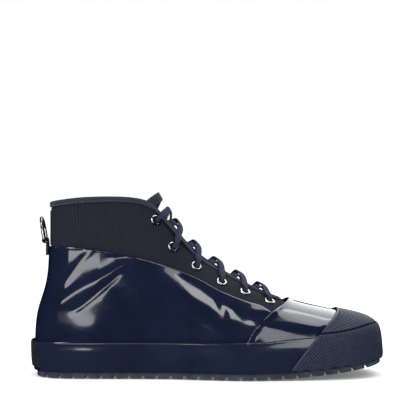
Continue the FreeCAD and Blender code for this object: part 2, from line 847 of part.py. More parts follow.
def one_run(side, first_high):
    """From the hidden bar at the foot up to the tucked tail, in (s, d, t)."""
    s0, d0 = PLACES[side][0]
    middle = (PLACES[-1][0][0] + PLACES[1][0][0]) / 2
    way = [(middle, 0.0, UNDER), (s0, side * 7.0, UNDER), (s0, side * (d0 - 3.6), UNDER),
           (s0, side * (d0 - 1.8), UNDER - 0.05), (s0, side * (d0 - 0.4), LINING_IN - 0.85)]
    facing = side
    high = first_high
    for k in range(len(EYELETS) - 1):
        for s, d, t in crossing(PLACES[facing][k], PLACES[-facing][k + 1], high):
            way.append((s, -facing * d, t))
        facing = -facing
        high = not high
    top_s, top_d = PLACES[facing][-1]
    g = throat_half(crest_point(top_s)[0])
    first = [(0, top_d - 0.1, (CANVAS_OUT + LINING_IN) / 2), (0, top_d - 0.2, CANVAS_OUT + 0.9),
             (0.3, top_d - 1.5, OVER + 0.3), (0.8, top_d - 4.4, OVER + 0.45)]
    # The tails turn down the tongue, one on the other, under the crossings.
    if high:
        tuck = [(1.8, g * 0.72, OVER + 1.1), (2.0, g * 0.36, OVER + 2.3), (-0.4, 2.4, OVER + 1.7),
                (-3.9, 0.4, OVER - 0.5), (-7.8, 0.0, TUCK + 0.1)]
        lane = TUCK
        reach = 85.0
    else:
        tuck = [(1.0, g * 0.72, OVER + 0.2), (0.6, g * 0.36, OVER - 1.4), (-1.4, 2.2, OVER - 3.7),
                (-4.4, 0.4, TUCK - 2.0), (-7.6, 0.0, TUCK - 2.05)]
        lane = TUCK - 2.05
        reach = 62.0
    last = first + tuck
    for ds in spread(15.0, reach, 7):
        last.append((-ds, 0.0, lane))
    for ds, d, t in last:
        way.append((top_s + ds, facing * d, t))
    return way


def through(rows, per_step):
    """Smooth run through way-points (centripetal Catmull-Rom)."""
    result = []
    for k in range(len(rows) - 1):
        p = [rows[max(0, k - 1)], rows[k], rows[k + 1], rows[min(len(rows) - 1, k + 2)]]
        knots = [0.0]
        for a, b in zip(p, p[1:]):
            knots.append(knots[-1] + max(0.3, math.dist(a, b)) ** 0.5)
        for i in range(per_step):
            t = knots[1] + (knots[2] - knots[1]) * i / per_step
            result.append([blend_cubic(p, knots, t, axis) for axis in range(len(rows[0]))])
    result.append(list(rows[-1]))
    return result


def blend_cubic(p, knots, t, axis):
    def mix(a, b, ta, tb):
        return a + (b - a) * (t - ta) / (tb - ta)

    k0, k1, k2, k3 = knots
    a1 = mix(p[0][axis], p[1][axis], k0, k1)
    a2 = mix(p[1][axis], p[2][axis], k1, k2)
    a3 = mix(p[2][axis], p[3][axis], k2, k3)
    b1 = mix(a1, a2, k0, k2)
    b2 = mix(a2, a3, k1, k3)
    return mix(b1, b2, k1, k2)


def lace_sections(rows, per_step=3):
    """Oval sections along one run: breadth lies on the skin."""
    path = through(rows, per_step)
    points = [lace_point(*row) for row in path]
    normals = []
    for s, d, t in path:
        normals.append(outward(*saddle(s, d)))
    across = []
    for k, point in enumerate(points):
        heading = (points[min(len(points) - 1, k + 1)] - points[max(0, k - 1)]).normalize()
        flat = heading - normals[k] * heading.dot(normals[k])
        if flat.Length > 0.35 or not across:
            broad = normals[k].cross(flat).normalize()
            if across and broad.dot(across[-1]) < 0:
                broad = broad * -1
            across.append(broad)
        else:
            across.append(across[-1])
    smooth = []
    for k in range(len(path)):
        total = V(0, 0, 0)
        for j in range(max(0, k - 4), min(len(path), k + 5)):
            total = total + across[j]
        smooth.append(total.normalize())
    sections = []
    for k, point in enumerate(points):
        heading = (points[min(len(points) - 1, k + 1)] - points[max(0, k - 1)]).normalize()
        broad = smooth[k] - heading * smooth[k].dot(heading)
        broad.normalize()
        thick = heading.cross(broad)
        squeeze = bore_squeeze(path[k])
        w = D["lace_breadth"] / 2 * (1 - 0.45 * squeeze)
        h = D["lace_gauge"] / 2 * (1 - 0.15 * squeeze)
        sections.append([point + broad * (w * a) + thick * (h * b) for a, b in OVAL])
    return sections


OVAL = [(1.0, 0.45), (0.78, 1.0), (-0.78, 1.0), (-1.0, 0.45),
        (-1.0, -0.45), (-0.78, -1.0), (0.78, -1.0), (1.0, -0.45)]


def bore_squeeze(row):
    """1 inside an eyelet, fading to 0 a few millimetres away."""
    side = 1 if row[1] > 0 else -1
    gaps = [math.dist((row[0], abs(row[1])), place) for place in PLACES[side]]
    return 1 - smoother((min(gaps) - 2.0) / 4.0)


lateral_sections = lace_sections(one_run(-1, True))
medial_sections = lace_sections(one_run(1, False))
first_cross = lateral_sections[0][0] - lateral_sections[0][3]
if first_cross.dot(medial_sections[0][0] - medial_sections[0][3]) < 0:
    medial_sections = [section[4:] + section[:4] for section in medial_sections]
# The two runs head away from each other, so one run's ovals are mirrored.
mirrored = [[section[k] for k in (7, 6, 5, 4, 3, 2, 1, 0)] for section in medial_sections]
lace_all = mirrored[:0:-1] + lateral_sections
lace_length = 0.0
for first, second in zip(lace_all, lace_all[1:]):
    lace_length += ((second[0] + second[4]) * 0.5 - (first[0] + first[4]) * 0.5).Length
node(feature("lace", strip_solid(lace_all)), "lace")

# ------------------------------------------------------------------- aglets
def aglet(section, before):
    """Round tip that carries on from the end of the lace."""
    end = (section[0] + section[4]) * 0.5
    heading = (end - (before[0] + before[4]) * 0.5).normalize()
    return Part.makeCylinder(1.1, 16.0, end + heading * 0.06, heading)


tips = [aglet(lace_all[0], lace_all[1]), aglet(lace_all[-1], lace_all[-2])]
node(feature("aglets", Part.makeCompound(tips)), "aglets")

# ---------------------------------------------------------- heel ring, loop
RING_X = -136.2
RING_Z = 112.0
RING_LEAN = 10.0
sheet.set("D1", "ring_radius")
sheet.set("E1", "=(ring_breadth - ring_wire) / 2")
sheet.setAlias("E1", "ring_radius")
sheet.set("D2", "ring_leg")
sheet.set("E2", "9.7")
sheet.setAlias("E2", "ring_leg")
doc.recompute()
RING_RADIUS = (D["ring_breadth"] - D["ring_wire"]) / 2
RING_LEG = 9.7


def primitive(kind, name, place, turn=(0.0, 0.0, 1.0, 0.0), **bound):
    item = doc.addObject("Part::" + kind, name)
    for key, expression in bound.items():
        item.setExpression(key, expression)
    item.Placement = FreeCAD.Placement(V(*place), FreeCAD.Rotation(V(*turn[:3]), turn[3]))
    return item


wire_radius = "dims.ring_wire / 2"
ring_parts = [primitive("Cylinder", "ring_bar", (0, -RING_RADIUS, 0), (1, 0, 0, -90),
                        Radius=wire_radius, Height="dims.ring_radius * 2")]
for side in (-1, 1):
    ring_parts.append(primitive("Cylinder", "ring_leg", (0, side * RING_RADIUS, 0),
                                Radius=wire_radius, Height="dims.ring_leg"))
    ring_parts.append(primitive("Sphere", "ring_corner", (0, side * RING_RADIUS, 0),
                                Radius=wire_radius))
arch = primitive("Torus", "ring_arch", (0, 0, RING_LEG), (1, 1, 1, 120),
                 Radius1="dims.ring_radius", Radius2=wire_radius)
arch.Angle3 = 180
ring_parts.append(arch)
doc.recompute()
heel_ring = doc.addObject("Part::MultiFuse", "heel_ring")
heel_ring.Shapes = ring_parts
heel_ring.Placement = FreeCAD.Placement(V(RING_X, 0, RING_Z), FreeCAD.Rotation(V(0, 1, 0), -RING_LEAN))
doc.recompute()
node(heel_ring, "heel_ring")

loop_eye = primitive("Cylinder", "loop_eye", (RING_X, 6.0, RING_Z), (1, 0, 0, 90),
                     Radius="dims.loop_bore / 2 + 0.95", Height="dims.loop_breadth")
loop_tail = primitive("Box", "loop_tail", (-135.35, -6.0, 99.0),
                      Length="1.9 mm", Width="dims.loop_breadth * 1 mm", Height="12 mm")
loop_bore = primitive("Cylinder", "loop_bore_tool", (RING_X, 8.0, RING_Z), (1, 0, 0, 90),
                      Radius="dims.loop_bore / 2", Height="dims.loop_breadth + 4")
loop_body = doc.addObject("Part::MultiFuse", "loop_solid")
loop_body.Shapes = [loop_eye, loop_tail]
doc.recompute()
node(boolean("Cut", "ring_loop", loop_body, loop_bore), "ring_loop")

# ------------------------------------------------------------ check, export
doc.recompute()
for item in doc.Objects:
    if "Invalid" in item.State or "Error" in item.State:
        raise RuntimeError("feature failed: " + item.Name)
for item in NODES:
    if item.Shape.isNull() or not item.Shape.isValid():
        raise RuntimeError("bad solid: " + item.Label)
    item.Shape.exportStep("parts/" + item.Label + ".step")
print(len(NODES), "nodes; lace length in mm:", round(lace_length))
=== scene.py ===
import math

import bmesh
import bpy
import numpy as np
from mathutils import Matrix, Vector


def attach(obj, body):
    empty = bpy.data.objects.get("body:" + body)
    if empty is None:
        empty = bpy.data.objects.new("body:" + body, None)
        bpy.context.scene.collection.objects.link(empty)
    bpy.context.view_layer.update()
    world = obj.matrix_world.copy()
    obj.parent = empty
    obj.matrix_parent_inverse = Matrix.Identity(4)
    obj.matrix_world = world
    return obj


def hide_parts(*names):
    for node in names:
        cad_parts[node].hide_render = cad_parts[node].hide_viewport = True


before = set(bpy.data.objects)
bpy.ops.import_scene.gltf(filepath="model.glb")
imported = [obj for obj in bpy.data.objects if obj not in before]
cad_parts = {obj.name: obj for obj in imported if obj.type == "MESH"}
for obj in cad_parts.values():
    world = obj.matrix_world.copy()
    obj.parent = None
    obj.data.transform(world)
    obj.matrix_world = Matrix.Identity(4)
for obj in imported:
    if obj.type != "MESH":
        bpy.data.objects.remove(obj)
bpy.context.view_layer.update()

# The boot's visible pieces, built in millimetres on one smooth surface (the
# last) and scaled to metres.  Toe toward +X, lateral side toward -Y, Z up.
MM = 0.001

# ------------------------------------------------------------------ the last
# Points (x, z) of the front outline with its slope in degrees there.
CREST = [(90.0, 56.6, 11.2), (35.0, 77.0, 29.4), (-17.0, 111.5, 50.0), (-41.0, 145.5, 63.0)]
CREST_BLEND, SHARE_BLEND = 4.0, 0.11
# The sole lifts from SPRING_START on; levels above SPRING_TOP don't follow it.
SPRING_START, SPRING_CURVE, SPRING_TOP = 25.0, 1360.0, 50.0
BISECTIONS = 46


def logistic(t):
    """Smooth step from 0 to 1 about t = 0."""
    return 1 / (1 + np.exp(-np.clip(t, -60, 60)))


def smoother(t):
    """Smooth step from 0 at t = 0 to 1 at t = 1."""
    t = np.clip(t, 0.0, 1.0)
    return t ** 3 * (t * (6 * t - 15) + 10)


def ground(x):
    """Toe spring: how far the sole's line lifts off the floor."""
    return np.maximum(0.0, x - SPRING_START) ** 2 / SPRING_CURVE


def level_z(x, h):
    """Height of level h at x; levels follow the toe spring low down."""
    return h + ground(x) * np.maximum(0.0, 1 - h / SPRING_TOP)


def level_of(x, z):
    lift = ground(x)
    return np.where(z >= SPRING_TOP, z, (z - lift) / (1 - lift / SPRING_TOP))


def depth_share(x, z):
    """0 on the outline of the side view, growing inward to about 1."""
    ways = []
    for px, pz, slope in CREST:
        a = math.radians(slope)
        ways.append(-((x - px) * math.sin(a) + (z - pz) * math.cos(a)) / CREST_BLEND)
    crest = CREST_BLEND * np.logaddexp.reduce(ways)
    roll = 42 + 34 * np.exp(-((x - 15) / 55) ** 2) + 10 * logistic(-(x + 40) / 15)
    lean = math.radians(4)
    toe = -((x - 144.3) * math.cos(lean) + (z - 24) * math.sin(lean))
    heel = x + 139 - 6 * np.tanh((z - 65) / 18) - 4 * np.exp(-np.maximum(z, -10) / 7)
    shares = np.stack([crest / roll, toe / 55, heel / 36])
    return -SHARE_BLEND * np.logaddexp.reduce(-shares / SHARE_BLEND)


def edge_factor(x, z):
    """0 on the outline and 1 well inside it, rounding the edge between."""
    return np.sqrt(np.maximum(0.0, 1 - np.exp(-3 * np.maximum(0.0, depth_share(x, z)))))


def half_width(x, z):
    """Half the last's breadth away from its rounded outline."""
    foot = 35.5 + 14.5 * logistic((x - 8) / 17)
    shaft = 33 + 2 * ((z - 100) / 50) ** 2
    blend = smoother((z - 45) / 70)
    tuck = 1 - 0.06 * np.exp(-(z - ground(x)) / 6)
    return (foot + (shaft - foot) * blend) * tuck


def crest_shift(x):
    """Sideways place of the crest line, toward the medial side."""
    return 7 * logistic((x + 15) / 14)


def base_shift(x):
    """Sideways place of the middle of the foot."""
    return -5.5 * np.exp(-((x - 20) / 42) ** 2) + 9 * logistic((x - 95) / 22)


def bisect(test, low, high):
    """Places between low (test true) and high (test false), as arrays."""
    for _ in range(BISECTIONS):
        middle = (low + high) / 2
        inside = test(middle)
        low = np.where(inside, middle, low)
        high = np.where(inside, high, middle)
    return (low + high) / 2


LEVELS = np.arange(-6.0, 176.0, 0.05)
ZEROS = np.zeros_like(LEVELS)
FRONTS = bisect(lambda x: depth_share(x, level_z(x, LEVELS)) > 0, ZEROS - 60, ZEROS + 165)
BACKS = bisect(lambda x: depth_share(x, level_z(x, LEVELS)) > 0, ZEROS - 60, ZEROS - 175)


def from_crest_line(x, z, side):
    """Sideways distance of the skin from the crest line."""
    e = edge_factor(x, z)
    return (base_shift(x) - crest_shift(x)) * e * e + side * half_width(x, z) * e


def span_at(h):
    """Middle and half length of the last along X at level h."""
    back = np.interp(h, LEVELS, BACKS)
    front = np.interp(h, LEVELS, FRONTS)
    return (back + front) / 2, (front - back) / 2


def skin(u, h):
    """Point of the last at angle u (0 toe, +-pi heel, minus lateral), level h."""
    middle, half = span_at(h)
    x = middle + half * np.cos(u)
    z = level_z(x, h)
    side = np.where(np.sin(u) >= 0, 1.0, -1.0)
    return np.stack([x, crest_shift(x) + from_crest_line(x, z, side), z], axis=-1)


def unit(v):
    return v / np.maximum(1e-12, np.linalg.norm(v, axis=-1, keepdims=True))


def run_of(points):
    """Distance along a run of points, from 0 at the first."""
    return np.concatenate([[0], np.cumsum(np.linalg.norm(np.diff(points, axis=0), axis=1))])


def blurred(rows, kernel):
    """Each column smoothed along the rows, the ends held."""
    reach = len(kernel) // 2
    padded = np.pad(rows, ((reach, reach), (0, 0)), mode="edge")
    columns = [np.convolve(padded[:, k], kernel, "valid") for k in range(rows.shape[1])]
    return np.stack(columns, axis=1)


def outward(u, h):
    """Unit normal of the skin."""
    along = skin(u + 0.004, h) - skin(u - 0.004, h)
    upward = skin(u, h + 0.1) - skin(u, h - 0.1)
    return unit(np.cross(along, upward))


def at(u, h, t):
    """Point t mm out from the skin."""
    return skin(u, h) + outward(u, h) * np.asarray(t)[..., None]


def angle_at_x(x, h, side):
    """Angle on one side where level h passes x."""
    middle, half = span_at(h)
    return side * np.arccos(np.clip((x - middle) / half, -1, 1))


# ----------------------------------------------- seams in the side view, mm
GALOSH_SEAM = [(-170.0, 107.5), (-134.0, 107.0), (-102.7, 106.2), (-72.4, 101.5), (-40.4, 93.5),
               (-8.4, 81.3), (8.5, 72.2), (30.8, 63.1), (44.2, 58.9), (51.8, 53.9)]
VAMP_SEAM = [(76.0, 71.0), (66.3, 62.1), (51.9, 53.4), (37.8, 39.9), (31.5, 29.7), (23.1, 17.2),
             (14.0, -2.0)]
CAP_SEAM = [(122.0, 68.0), (108.7, 53.6), (94.6, 39.9), (88.9, 33.8), (78.9, 23.2), (67.4, 8.9),
            (60.0, -2.0)]


def smooth_line(points, per_step=10):
    """Catmull-Rom run through (x, z) or longer rows of numbers."""
    rows = [np.asarray(p, float) for p in points]
    rows = [2 * rows[0] - rows[1]] + rows + [2 * rows[-1] - rows[-2]]
    result = []
    for k in range(1, len(rows) - 2):
        p0, p1, p2, p3 = rows[k - 1:k + 3]
        knots = [0.0]
        for a, b in ((p0, p1), (p1, p2), (p2, p3)):
            knots.append(knots[-1] + max(0.3, float(np.linalg.norm(b - a))) ** 0.5)
        for i in range(per_step):
            t = knots[1] + (knots[2] - knots[1]) * i / per_step
            result.append(cubic([p0, p1, p2, p3], knots, t))
    result.append(rows[-2])
    return np.array(result)


def cubic(p, knots, t):
    def mix(a, b, ta, tb):
        return a + (b - a) * (t - ta) / (tb - ta)

    k0, k1, k2, k3 = knots
    a1, a2, a3 = mix(p[0], p[1], k0, k1), mix(p[1], p[2], k1, k2), mix(p[2], p[3], k2, k3)
    return mix(mix(a1, a2, k0, k2), mix(a2, a3, k1, k3), k1, k2)


def seam_distance(line):
    """Distance in the side view, positive to the right of the line's travel."""
    line = smooth_line(line)

    def distance(x, z):
        x = np.asarray(x, float)
        best = np.full(x.shape, 1e9)
        signed = np.zeros(x.shape)
        for a, b in zip(line, line[1:]):
            dx, dz = b - a
            size = dx * dx + dz * dz
            t = np.clip(((x - a[0]) * dx + (z - a[1]) * dz) / size, 0, 1)
            gap = np.hypot(x - a[0] - t * dx, z - a[1] - t * dz)
            side = np.sign((z - a[1]) * -dx + (x - a[0]) * dz)
            closer = gap < best
            best = np.where(closer, gap, best)
            signed = np.where(closer, gap * side, signed)
        return signed
    return distance


def beside(line, margin=0.0, side=1):
    """Field over (u, h, points), positive from margin on, on one side of a seam."""
    distance = seam_distance(line)
    return lambda u, h, p: side * distance(p[:, 0], p[:, 2]) - margin


SEAM_GAP = 0.15
galosh_edge = beside(GALOSH_SEAM)
vamp_edge_behind = beside(VAMP_SEAM, SEAM_GAP)
vamp_edge_ahead = beside(VAMP_SEAM, SEAM_GAP, -1)
cap_edge = beside(CAP_SEAM, side=-1)


def collar_line(x):
    """Height of the collar's top edge."""
    ahead = np.maximum(0.0, x + 77)
    behind = np.minimum(0.0, x + 77)
    return 148.3 - 1.8 * (ahead / 23) ** 3.4 - 0.00135 * behind ** 2


def throat_half(x):
    """Half the gap between the facings."""
    return 10 + 2 * smoother((62 - x) / 110)


def foxing_top(u):
    """Level of the foxing's top edge, higher round the toe."""
    x = 144 * np.cos(u)
    return 29.6 + 3.4 * logistic((x - 58) / 9) + 6.5 * logistic((x - 126) / 9)


# ------------------------------------------------------------- mesh builders
def even_levels(low, high, step):
    """Levels an even distance apart along the front profile."""
    h = np.linspace(low, high, 900)
    x = np.interp(h, LEVELS, FRONTS)
    run = run_of(np.stack([x, h], axis=1))
    count = max(2, int(run[-1] / step) + 1)
    return np.interp(np.linspace(0, run[-1], count), run, h)


def grid_faces(rows, columns):
    """Quads of a grid whose points are numbered row by row."""
    faces = []
    for i in range(rows - 1):
        for j in range(columns - 1):
            a = i * columns + j
            faces.append([a, a + columns, a + columns + 1, a + 1])
    return faces


def sides_of(face):
    return zip(face, face[1:] + face[:1])


def thick_sheet(name, top, bottom, faces, sharp=38):
    """Closed mesh between two copies of a sheet, walled round its edges."""
    count = len(top)
    edges = dict.fromkeys(edge for face in faces for edge in sides_of(face))
    walls = [[b, a, a + count, b + count] for a, b in edges if (b, a) not in edges]
    under = [[k + count for k in reversed(face)] for face in faces]
    return mesh_piece(name, np.concatenate([top, bottom]), faces + under + walls, sharp)


class Patch:
    """A sheet in (u, h), trimmed by scalar fields, then given thickness."""

    def __init__(self, angles, levels):
        uu, hh = np.meshgrid(angles, levels, indexing="ij")
        self.uv = np.stack([uu.ravel(), hh.ravel()], axis=1)
        self.faces = grid_faces(len(angles), len(levels))

    def points(self):
        return skin(self.uv[:, 0], self.uv[:, 1])

    def cut(self, field, keep_both=False, level=0.0):
        """Split along field == level; drop what lies below it."""
        values = field(self.uv[:, 0], self.uv[:, 1], self.points()) - level
        values[np.abs(values) < 1e-4] = 1e-4
        added = {}
        new_uv = []
        base = len(self.uv)

        def crossing(a, b):
            key = (min(a, b), max(a, b))
            if key not in added:
                share = values[a] / (values[a] - values[b])
                added[key] = base + len(new_uv)
                new_uv.append(self.uv[a] + (self.uv[b] - self.uv[a]) * share)
            return added[key]

        above = values > 0
        faces = []
        for face in self.faces:
            flags = [above[k] for k in face]
            if all(flags):
                faces.append(face)
                continue
            if not any(flags):
                if keep_both:
                    faces.append(face)
                continue
            upper, lower = [], []
            for a, b in sides_of(face):
                (upper if above[a] else lower).append(a)
                if above[a] != above[b]:
                    k = crossing(a, b)
                    upper.append(k)
                    lower.append(k)
            faces.append(upper)
            if keep_both:
                faces.append(lower)
        if new_uv:
            self.uv = np.concatenate([self.uv, np.array(new_uv)])
        used = sorted({k for face in faces for k in face})
        place = {k: i for i, k in enumerate(used)}
        self.uv = self.uv[used]
        self.faces = [[place[k] for k in face] for face in faces]

    def rims(self, field, widths):
        """Rows of points along an edge so it can be rounded."""
        for width in widths:
            self.cut(field, keep_both=True, level=width)

    def solid(self, name, outer, inner):
        """Closed mesh between two offsets, each f(u, h, points)."""
        u, h = self.uv[:, 0], self.uv[:, 1]
        base = self.points()
        normal = outward(u, h)
        top = base + normal * np.asarray(outer(u, h, base))[:, None]
        bottom = base + normal * np.asarray(inner(u, h, base))[:, None]
        return thick_sheet(name, top, bottom, self.faces)


def panel(name, angles, levels, outer, inner, *edges):
    """Solid sheet trimmed by each (field, rim widths...) in turn."""
    patch = Patch(angles, levels)
    for field, *widths in edges:
        patch.cut(field)
        patch.rims(field, widths)
    return patch.solid(name, outer, inner)


def flat(offset):
    """An offset that is the same all over a sheet."""
    return lambda u, h, p: 0 * u + offset


def mesh_piece(name, points, faces, sharp=38):
    mesh = bpy.data.meshes.new(name)
    mesh.from_pydata((np.asarray(points) * MM).tolist(), [], faces)
    mesh.validate()
    mesh.update()
    mesh.polygons.foreach_set("use_smooth", [True] * len(mesh.polygons))
    mesh.set_sharp_from_angle(angle=math.radians(sharp))
    piece = bpy.data.objects.new(name, mesh)
    bpy.context.scene.collection.objects.link(piece)
    return piece


def tag(piece, name, values):
    """Store one number per vertex for the material to read."""
    layer = piece.data.attributes.new(name, "FLOAT", "POINT")
    if len(values) == len(layer.data):
        layer.data.foreach_set("value", np.asarray(values, dtype=np.float32))


def rounded(gap, radius):
    """0 at an edge, 1 once gap reaches radius, round between."""
    t = np.clip(gap / radius, 0, 1)
    return np.sqrt(np.maximum(0, 1 - (1 - t) ** 2))


# ------------------------------------------------------------ rubber panels
GAUGE = 1.8
RUBBER_FOOT = 5.3
FOXING_IN, FOXING_OUT = 0.3, 2.0
LUG_PITCH = 11.4


def puckers(points):
    """Soft folds moulded into the thin rubber, mm proud of the last."""
    x, y, z = points[:, 0], points[:, 1], points[:, 2]
    rise = np.zeros(len(points))
    for x0, z0, x1, z1, width, height in FOLDS:
        dx, dz = x1 - x0, z1 - z0
        size = math.hypot(dx, dz)
        along = ((x - x0) * dx + (z - z0) * dz) / size
        across = ((z - z0) * dx - (x - x0) * dz) / size + 0.75 * np.sin(along / 11 + x0)
        taper = smoother(along / 14) * smoother((size - along) / 14)
        rise += height * np.exp(-(across / width) ** 2) * taper
    swell = 1.7 * np.exp(-((x + 99) / 21) ** 2 - ((z - 33) / 17) ** 2)
    gentle = np.sin(x / 17 + 1.3 * np.sin(z / 13)) * np.sin(z / 15 + y / 19)
    return rise + swell + 0.08 * gentle


# Each fold runs from (x, z) to (x, z) in the side view, with width and height.
FOLDS = [(-130.0, 56.0, -48.0, 104.0, 5.0, 0.6), (-124.0, 70.0, -90.0, 110.0, 3.2, 0.45),
         (-114.0, 50.0, -64.0, 92.0, 2.6, -0.45), (34.0, 59.0, 98.0, 39.5, 3.2, 0.4),
         (28.0, 44.0, 104.0, 41.0, 5.2, 0.8), (9.0, 78.0, 14.0, 40.0, 4.0, -0.5)]


def quarter_outer(u, h, p):
    top = galosh_edge(u, h, p)
    lip = 0.2 * np.exp(-(top / 2.0) ** 2)
    return puckers(p) + lip - 0.5 * (1 - rounded(top, 0.6))


def make_quarters():
    angles = np.linspace(0.34, 2 * math.pi - 0.34, 330)
    levels = even_levels(RUBBER_FOOT, 109.0, 1.7)
    notches = eyelet_gap(EYELET_AXES[1], EYELET_RADIUS + 0.4)
    return panel("quarters", angles, levels, quarter_outer, flat(-GAUGE),
                 (galosh_edge, 0.2, 0.6, 2.0), (vamp_edge_behind,), (notches,))


def seam_ridge(gap):
    """Rounded raised edge where one sheet of rubber laps another."""
    return 0.7 * rounded(gap, 0.7) * np.exp(-(np.maximum(0, gap - 0.6) / 2.2) ** 2)


def vamp_outer(u, h, p):
    gap = vamp_edge_ahead(u, h, p)
    under_cap = np.clip(-cap_edge(u, h, p) / 2.0, 0, 1)
    return (puckers(p) + seam_ridge(gap)) * under_cap


def make_vamp():
    levels = even_levels(RUBBER_FOOT, 66.0, 1.5)
    return panel("vamp_sheet", np.linspace(-2.1, 2.1, 300), levels, vamp_outer, flat(-GAUGE),
                 (vamp_edge_ahead, 0.2, 0.5, 0.9, 1.6, 2.8))


def below_foxing_top(u, h, p):
    return foxing_top(u) - h


def foxing_outer(u, h, p):
    top = below_foxing_top(u, h, p)
    bead = 0.15 * np.exp(-((top - 1.5) / 1.0) ** 2)
    low = np.clip((13 - h) / 8, 0, 1)
    waves = 0.35 * low * np.sin(p[:, 0] / LUG_PITCH * 2 * math.pi + 0.6 * np.sin(p[:, 0] / 17))
    seam = 0.6 * np.exp(-((vamp_edge_behind(u, h, p) + SEAM_GAP) / 1.2) ** 2)
    heel = 0.8 * np.exp(-((p[:, 0] + 100) / 22) ** 2) * (1 - smoother((h - 19) / 10))
    sides = 0.15 * np.sin(p[:, 0] / 23 + 0.4) * np.sin(h / 9)
    shape = FOXING_OUT + bead + waves + seam + heel + sides - 1.0 * (1 - rounded(top, 0.5))
    return np.minimum(shape, FOXING_OUT + 0.75)


def make_foxing():
    angles = np.linspace(-math.pi + 0.0035, math.pi - 0.0035, 420)
    levels = np.linspace(RUBBER_FOOT, 42.0, 30)
    return panel("foxing", angles, levels, foxing_outer, flat(FOXING_IN),
                 (below_foxing_top, 0.2, 0.5, 1.5, 3.0))


# -------------------------------------------------------------- toe cap ribs
RIB_PITCH = 2.1
RIB_LEAN_UPPER, RIB_LEAN_LOWER = 27, 50


def toe_run(u, h):
    """Distance round the toe from its tip at each level, signed."""
    fan = np.linspace(0, 1.3, 80)
    levels = np.linspace(0, 60, 13)
    runs = []
    for level in levels:
        for_side = []
        for side in (-1, 1):
            for_side.append(run_of(skin(side * fan, 0 * fan + level)[:, :2]))
        runs.append(for_side)
    runs = np.array(runs)
    place = np.clip(h / 5, 0, 11.999)
    k = place.astype(int)
    share = place - k
    column = np.clip(np.abs(u) / 1.3 * 79, 0, 78.999)
    c = column.astype(int)
    part = column - c
    row = (u > 0).astype(int)

    def value(level):
        return runs[level, row, c] * (1 - part) + runs[level, row, c + 1] * part
    return value(k) * (1 - share) + value(k + 1) * share


def foxing_step(u, h):
    """1 over the foxing, 0 above it, where the cap steps in."""
    return logistic((foxing_top(u) + 2.2 - h) / 0.7)


def cap_outer(u, h, p):
    run = toe_run(u, h)
    top = foxing_top(u) + 1.5
    lean = np.radians(np.where(h > top, RIB_LEAN_UPPER, RIB_LEAN_LOWER))
    phase = (-run * np.sin(lean) + h * np.cos(lean)) / RIB_PITCH * 2 * math.pi
    crease = 0.75 * np.exp(-((h - top) / 0.9) ** 2)
    edge = cap_edge(u, h, p)
    fade = smoother((edge - 1.2) / 1.5) * smoother((h - 7) / 2.5)
    ribs = (np.abs(np.sin(phase / 2)) ** 0.7 - 0.6) * 0.85
    knurl = 0.08 * np.sin((run * 0.8 + h * 0.6) / 0.95 * 2 * math.pi / 1.3)
    border = 0.35 * np.exp(-((edge - 0.9) / 0.8) ** 2)
    base = 1.85 + 1.25 * foxing_step(u, h)
    body = base + fade * (ribs + knurl) + border - crease
    return body - 1.3 * (1 - rounded(edge, 0.9))


def cap_inner(u, h, p):
    return 0.25 + 2.05 * foxing_step(u, h) - 0.2 * (1 - rounded(cap_edge(u, h, p), 0.9))


def above_wave(u, h, p):
    run = toe_run(u, h)
    return h - 6.2 - 0.7 * np.sin(run / LUG_PITCH * 2 * math.pi) - 0.3 * np.cos(run / 5.3)


def make_toe_cap():
    patch = Patch(np.linspace(-1.2, 1.2, 420), even_levels(5.0, 54.2, 0.45))
    patch.cut(cap_edge)
    patch.rims(cap_edge, [0.2, 0.5, 0.9])
    patch.cut(above_wave)
    piece = patch.solid("toe_cap_ribbed", cap_outer, cap_inner)
    # The rib height is stored for the material, which paints shade into the grooves and lightens the
    # crests by it.
    u, h = patch.uv[:, 0], patch.uv[:, 1]
    height = cap_outer(u, h, patch.points()) - 1.85 - 1.25 * foxing_step(u, h)
    tag(piece, "rib_height", np.concatenate([height, height]))
    return piece


def patch_edge(u, h, p):
    off = np.abs(np.abs(u) - math.pi)
    sides = (0.33 - off) * 100
    top = 29.3 - 2.5 * (off / 0.33) ** 4 - h
    return np.minimum(np.minimum(sides, top), h - 8.0)


def make_heel_patch():
    angles = np.linspace(math.pi - 0.35, math.pi + 0.35, 110)

    def outer(u, h, p):
        gap = patch_edge(u, h, p)
        knobs = 0.3 * np.sin(h * 1.9 + 1.5 * np.sin(p[:, 1] * 0.8)) * np.sin(p[:, 1] * 1.5 + h)
        rough = knobs + np.random.default_rng(7).normal(0, 0.2, len(u))
        return FOXING_OUT + 1.0 + rough * rounded(gap, 0.7) - 0.65 * (1 - rounded(gap, 2.0))
    return panel("heel_patch_rough", angles, np.linspace(7.0, 31.0, 60), outer,
                 flat(FOXING_OUT + 0.3), (patch_edge, 0.2, 0.5, 1.1))


# ------------------------------------------------------------- canvas collar
CANVAS_OUT, CANVAS_IN = -1.95, -2.85
LINING_OUT, LINING_IN = -3.65, -4.45
TAPE = 0.7
TAPE_OUT = CANVAS_OUT + 0.3 + TAPE
TAPE_IN = LINING_IN - 0.3 - TAPE
TAPE_DEPTH, EDGE_MARGIN, LINING_MARGIN = 4.5, 2.3, 3.0
STITCH_IN = 3.5
CORD_PITCH = 2.2
COLLAR_TOP = 152.0


def below_collar(margin):
    """Below the binding; ahead of the facing's corner nothing is trimmed."""
    return lambda u, h, p: np.where(p[:, 0] < -34.0, collar_line(p[:, 0]) - margin, 200.0) - p[:, 2]


def beside_throat(margin):
    def gap(u, h, p):
        aside = np.abs(p[:, 1] - crest_shift(p[:, 0])) - throat_half(p[:, 0]) - margin
        return np.maximum(aside, -68.0 - p[:, 0])
    return gap


def canvas_foot(u, h, p):
    """Inside the strip where the canvas tucks under the rubber."""
    return 12.0 - galosh_edge(u, h, p)


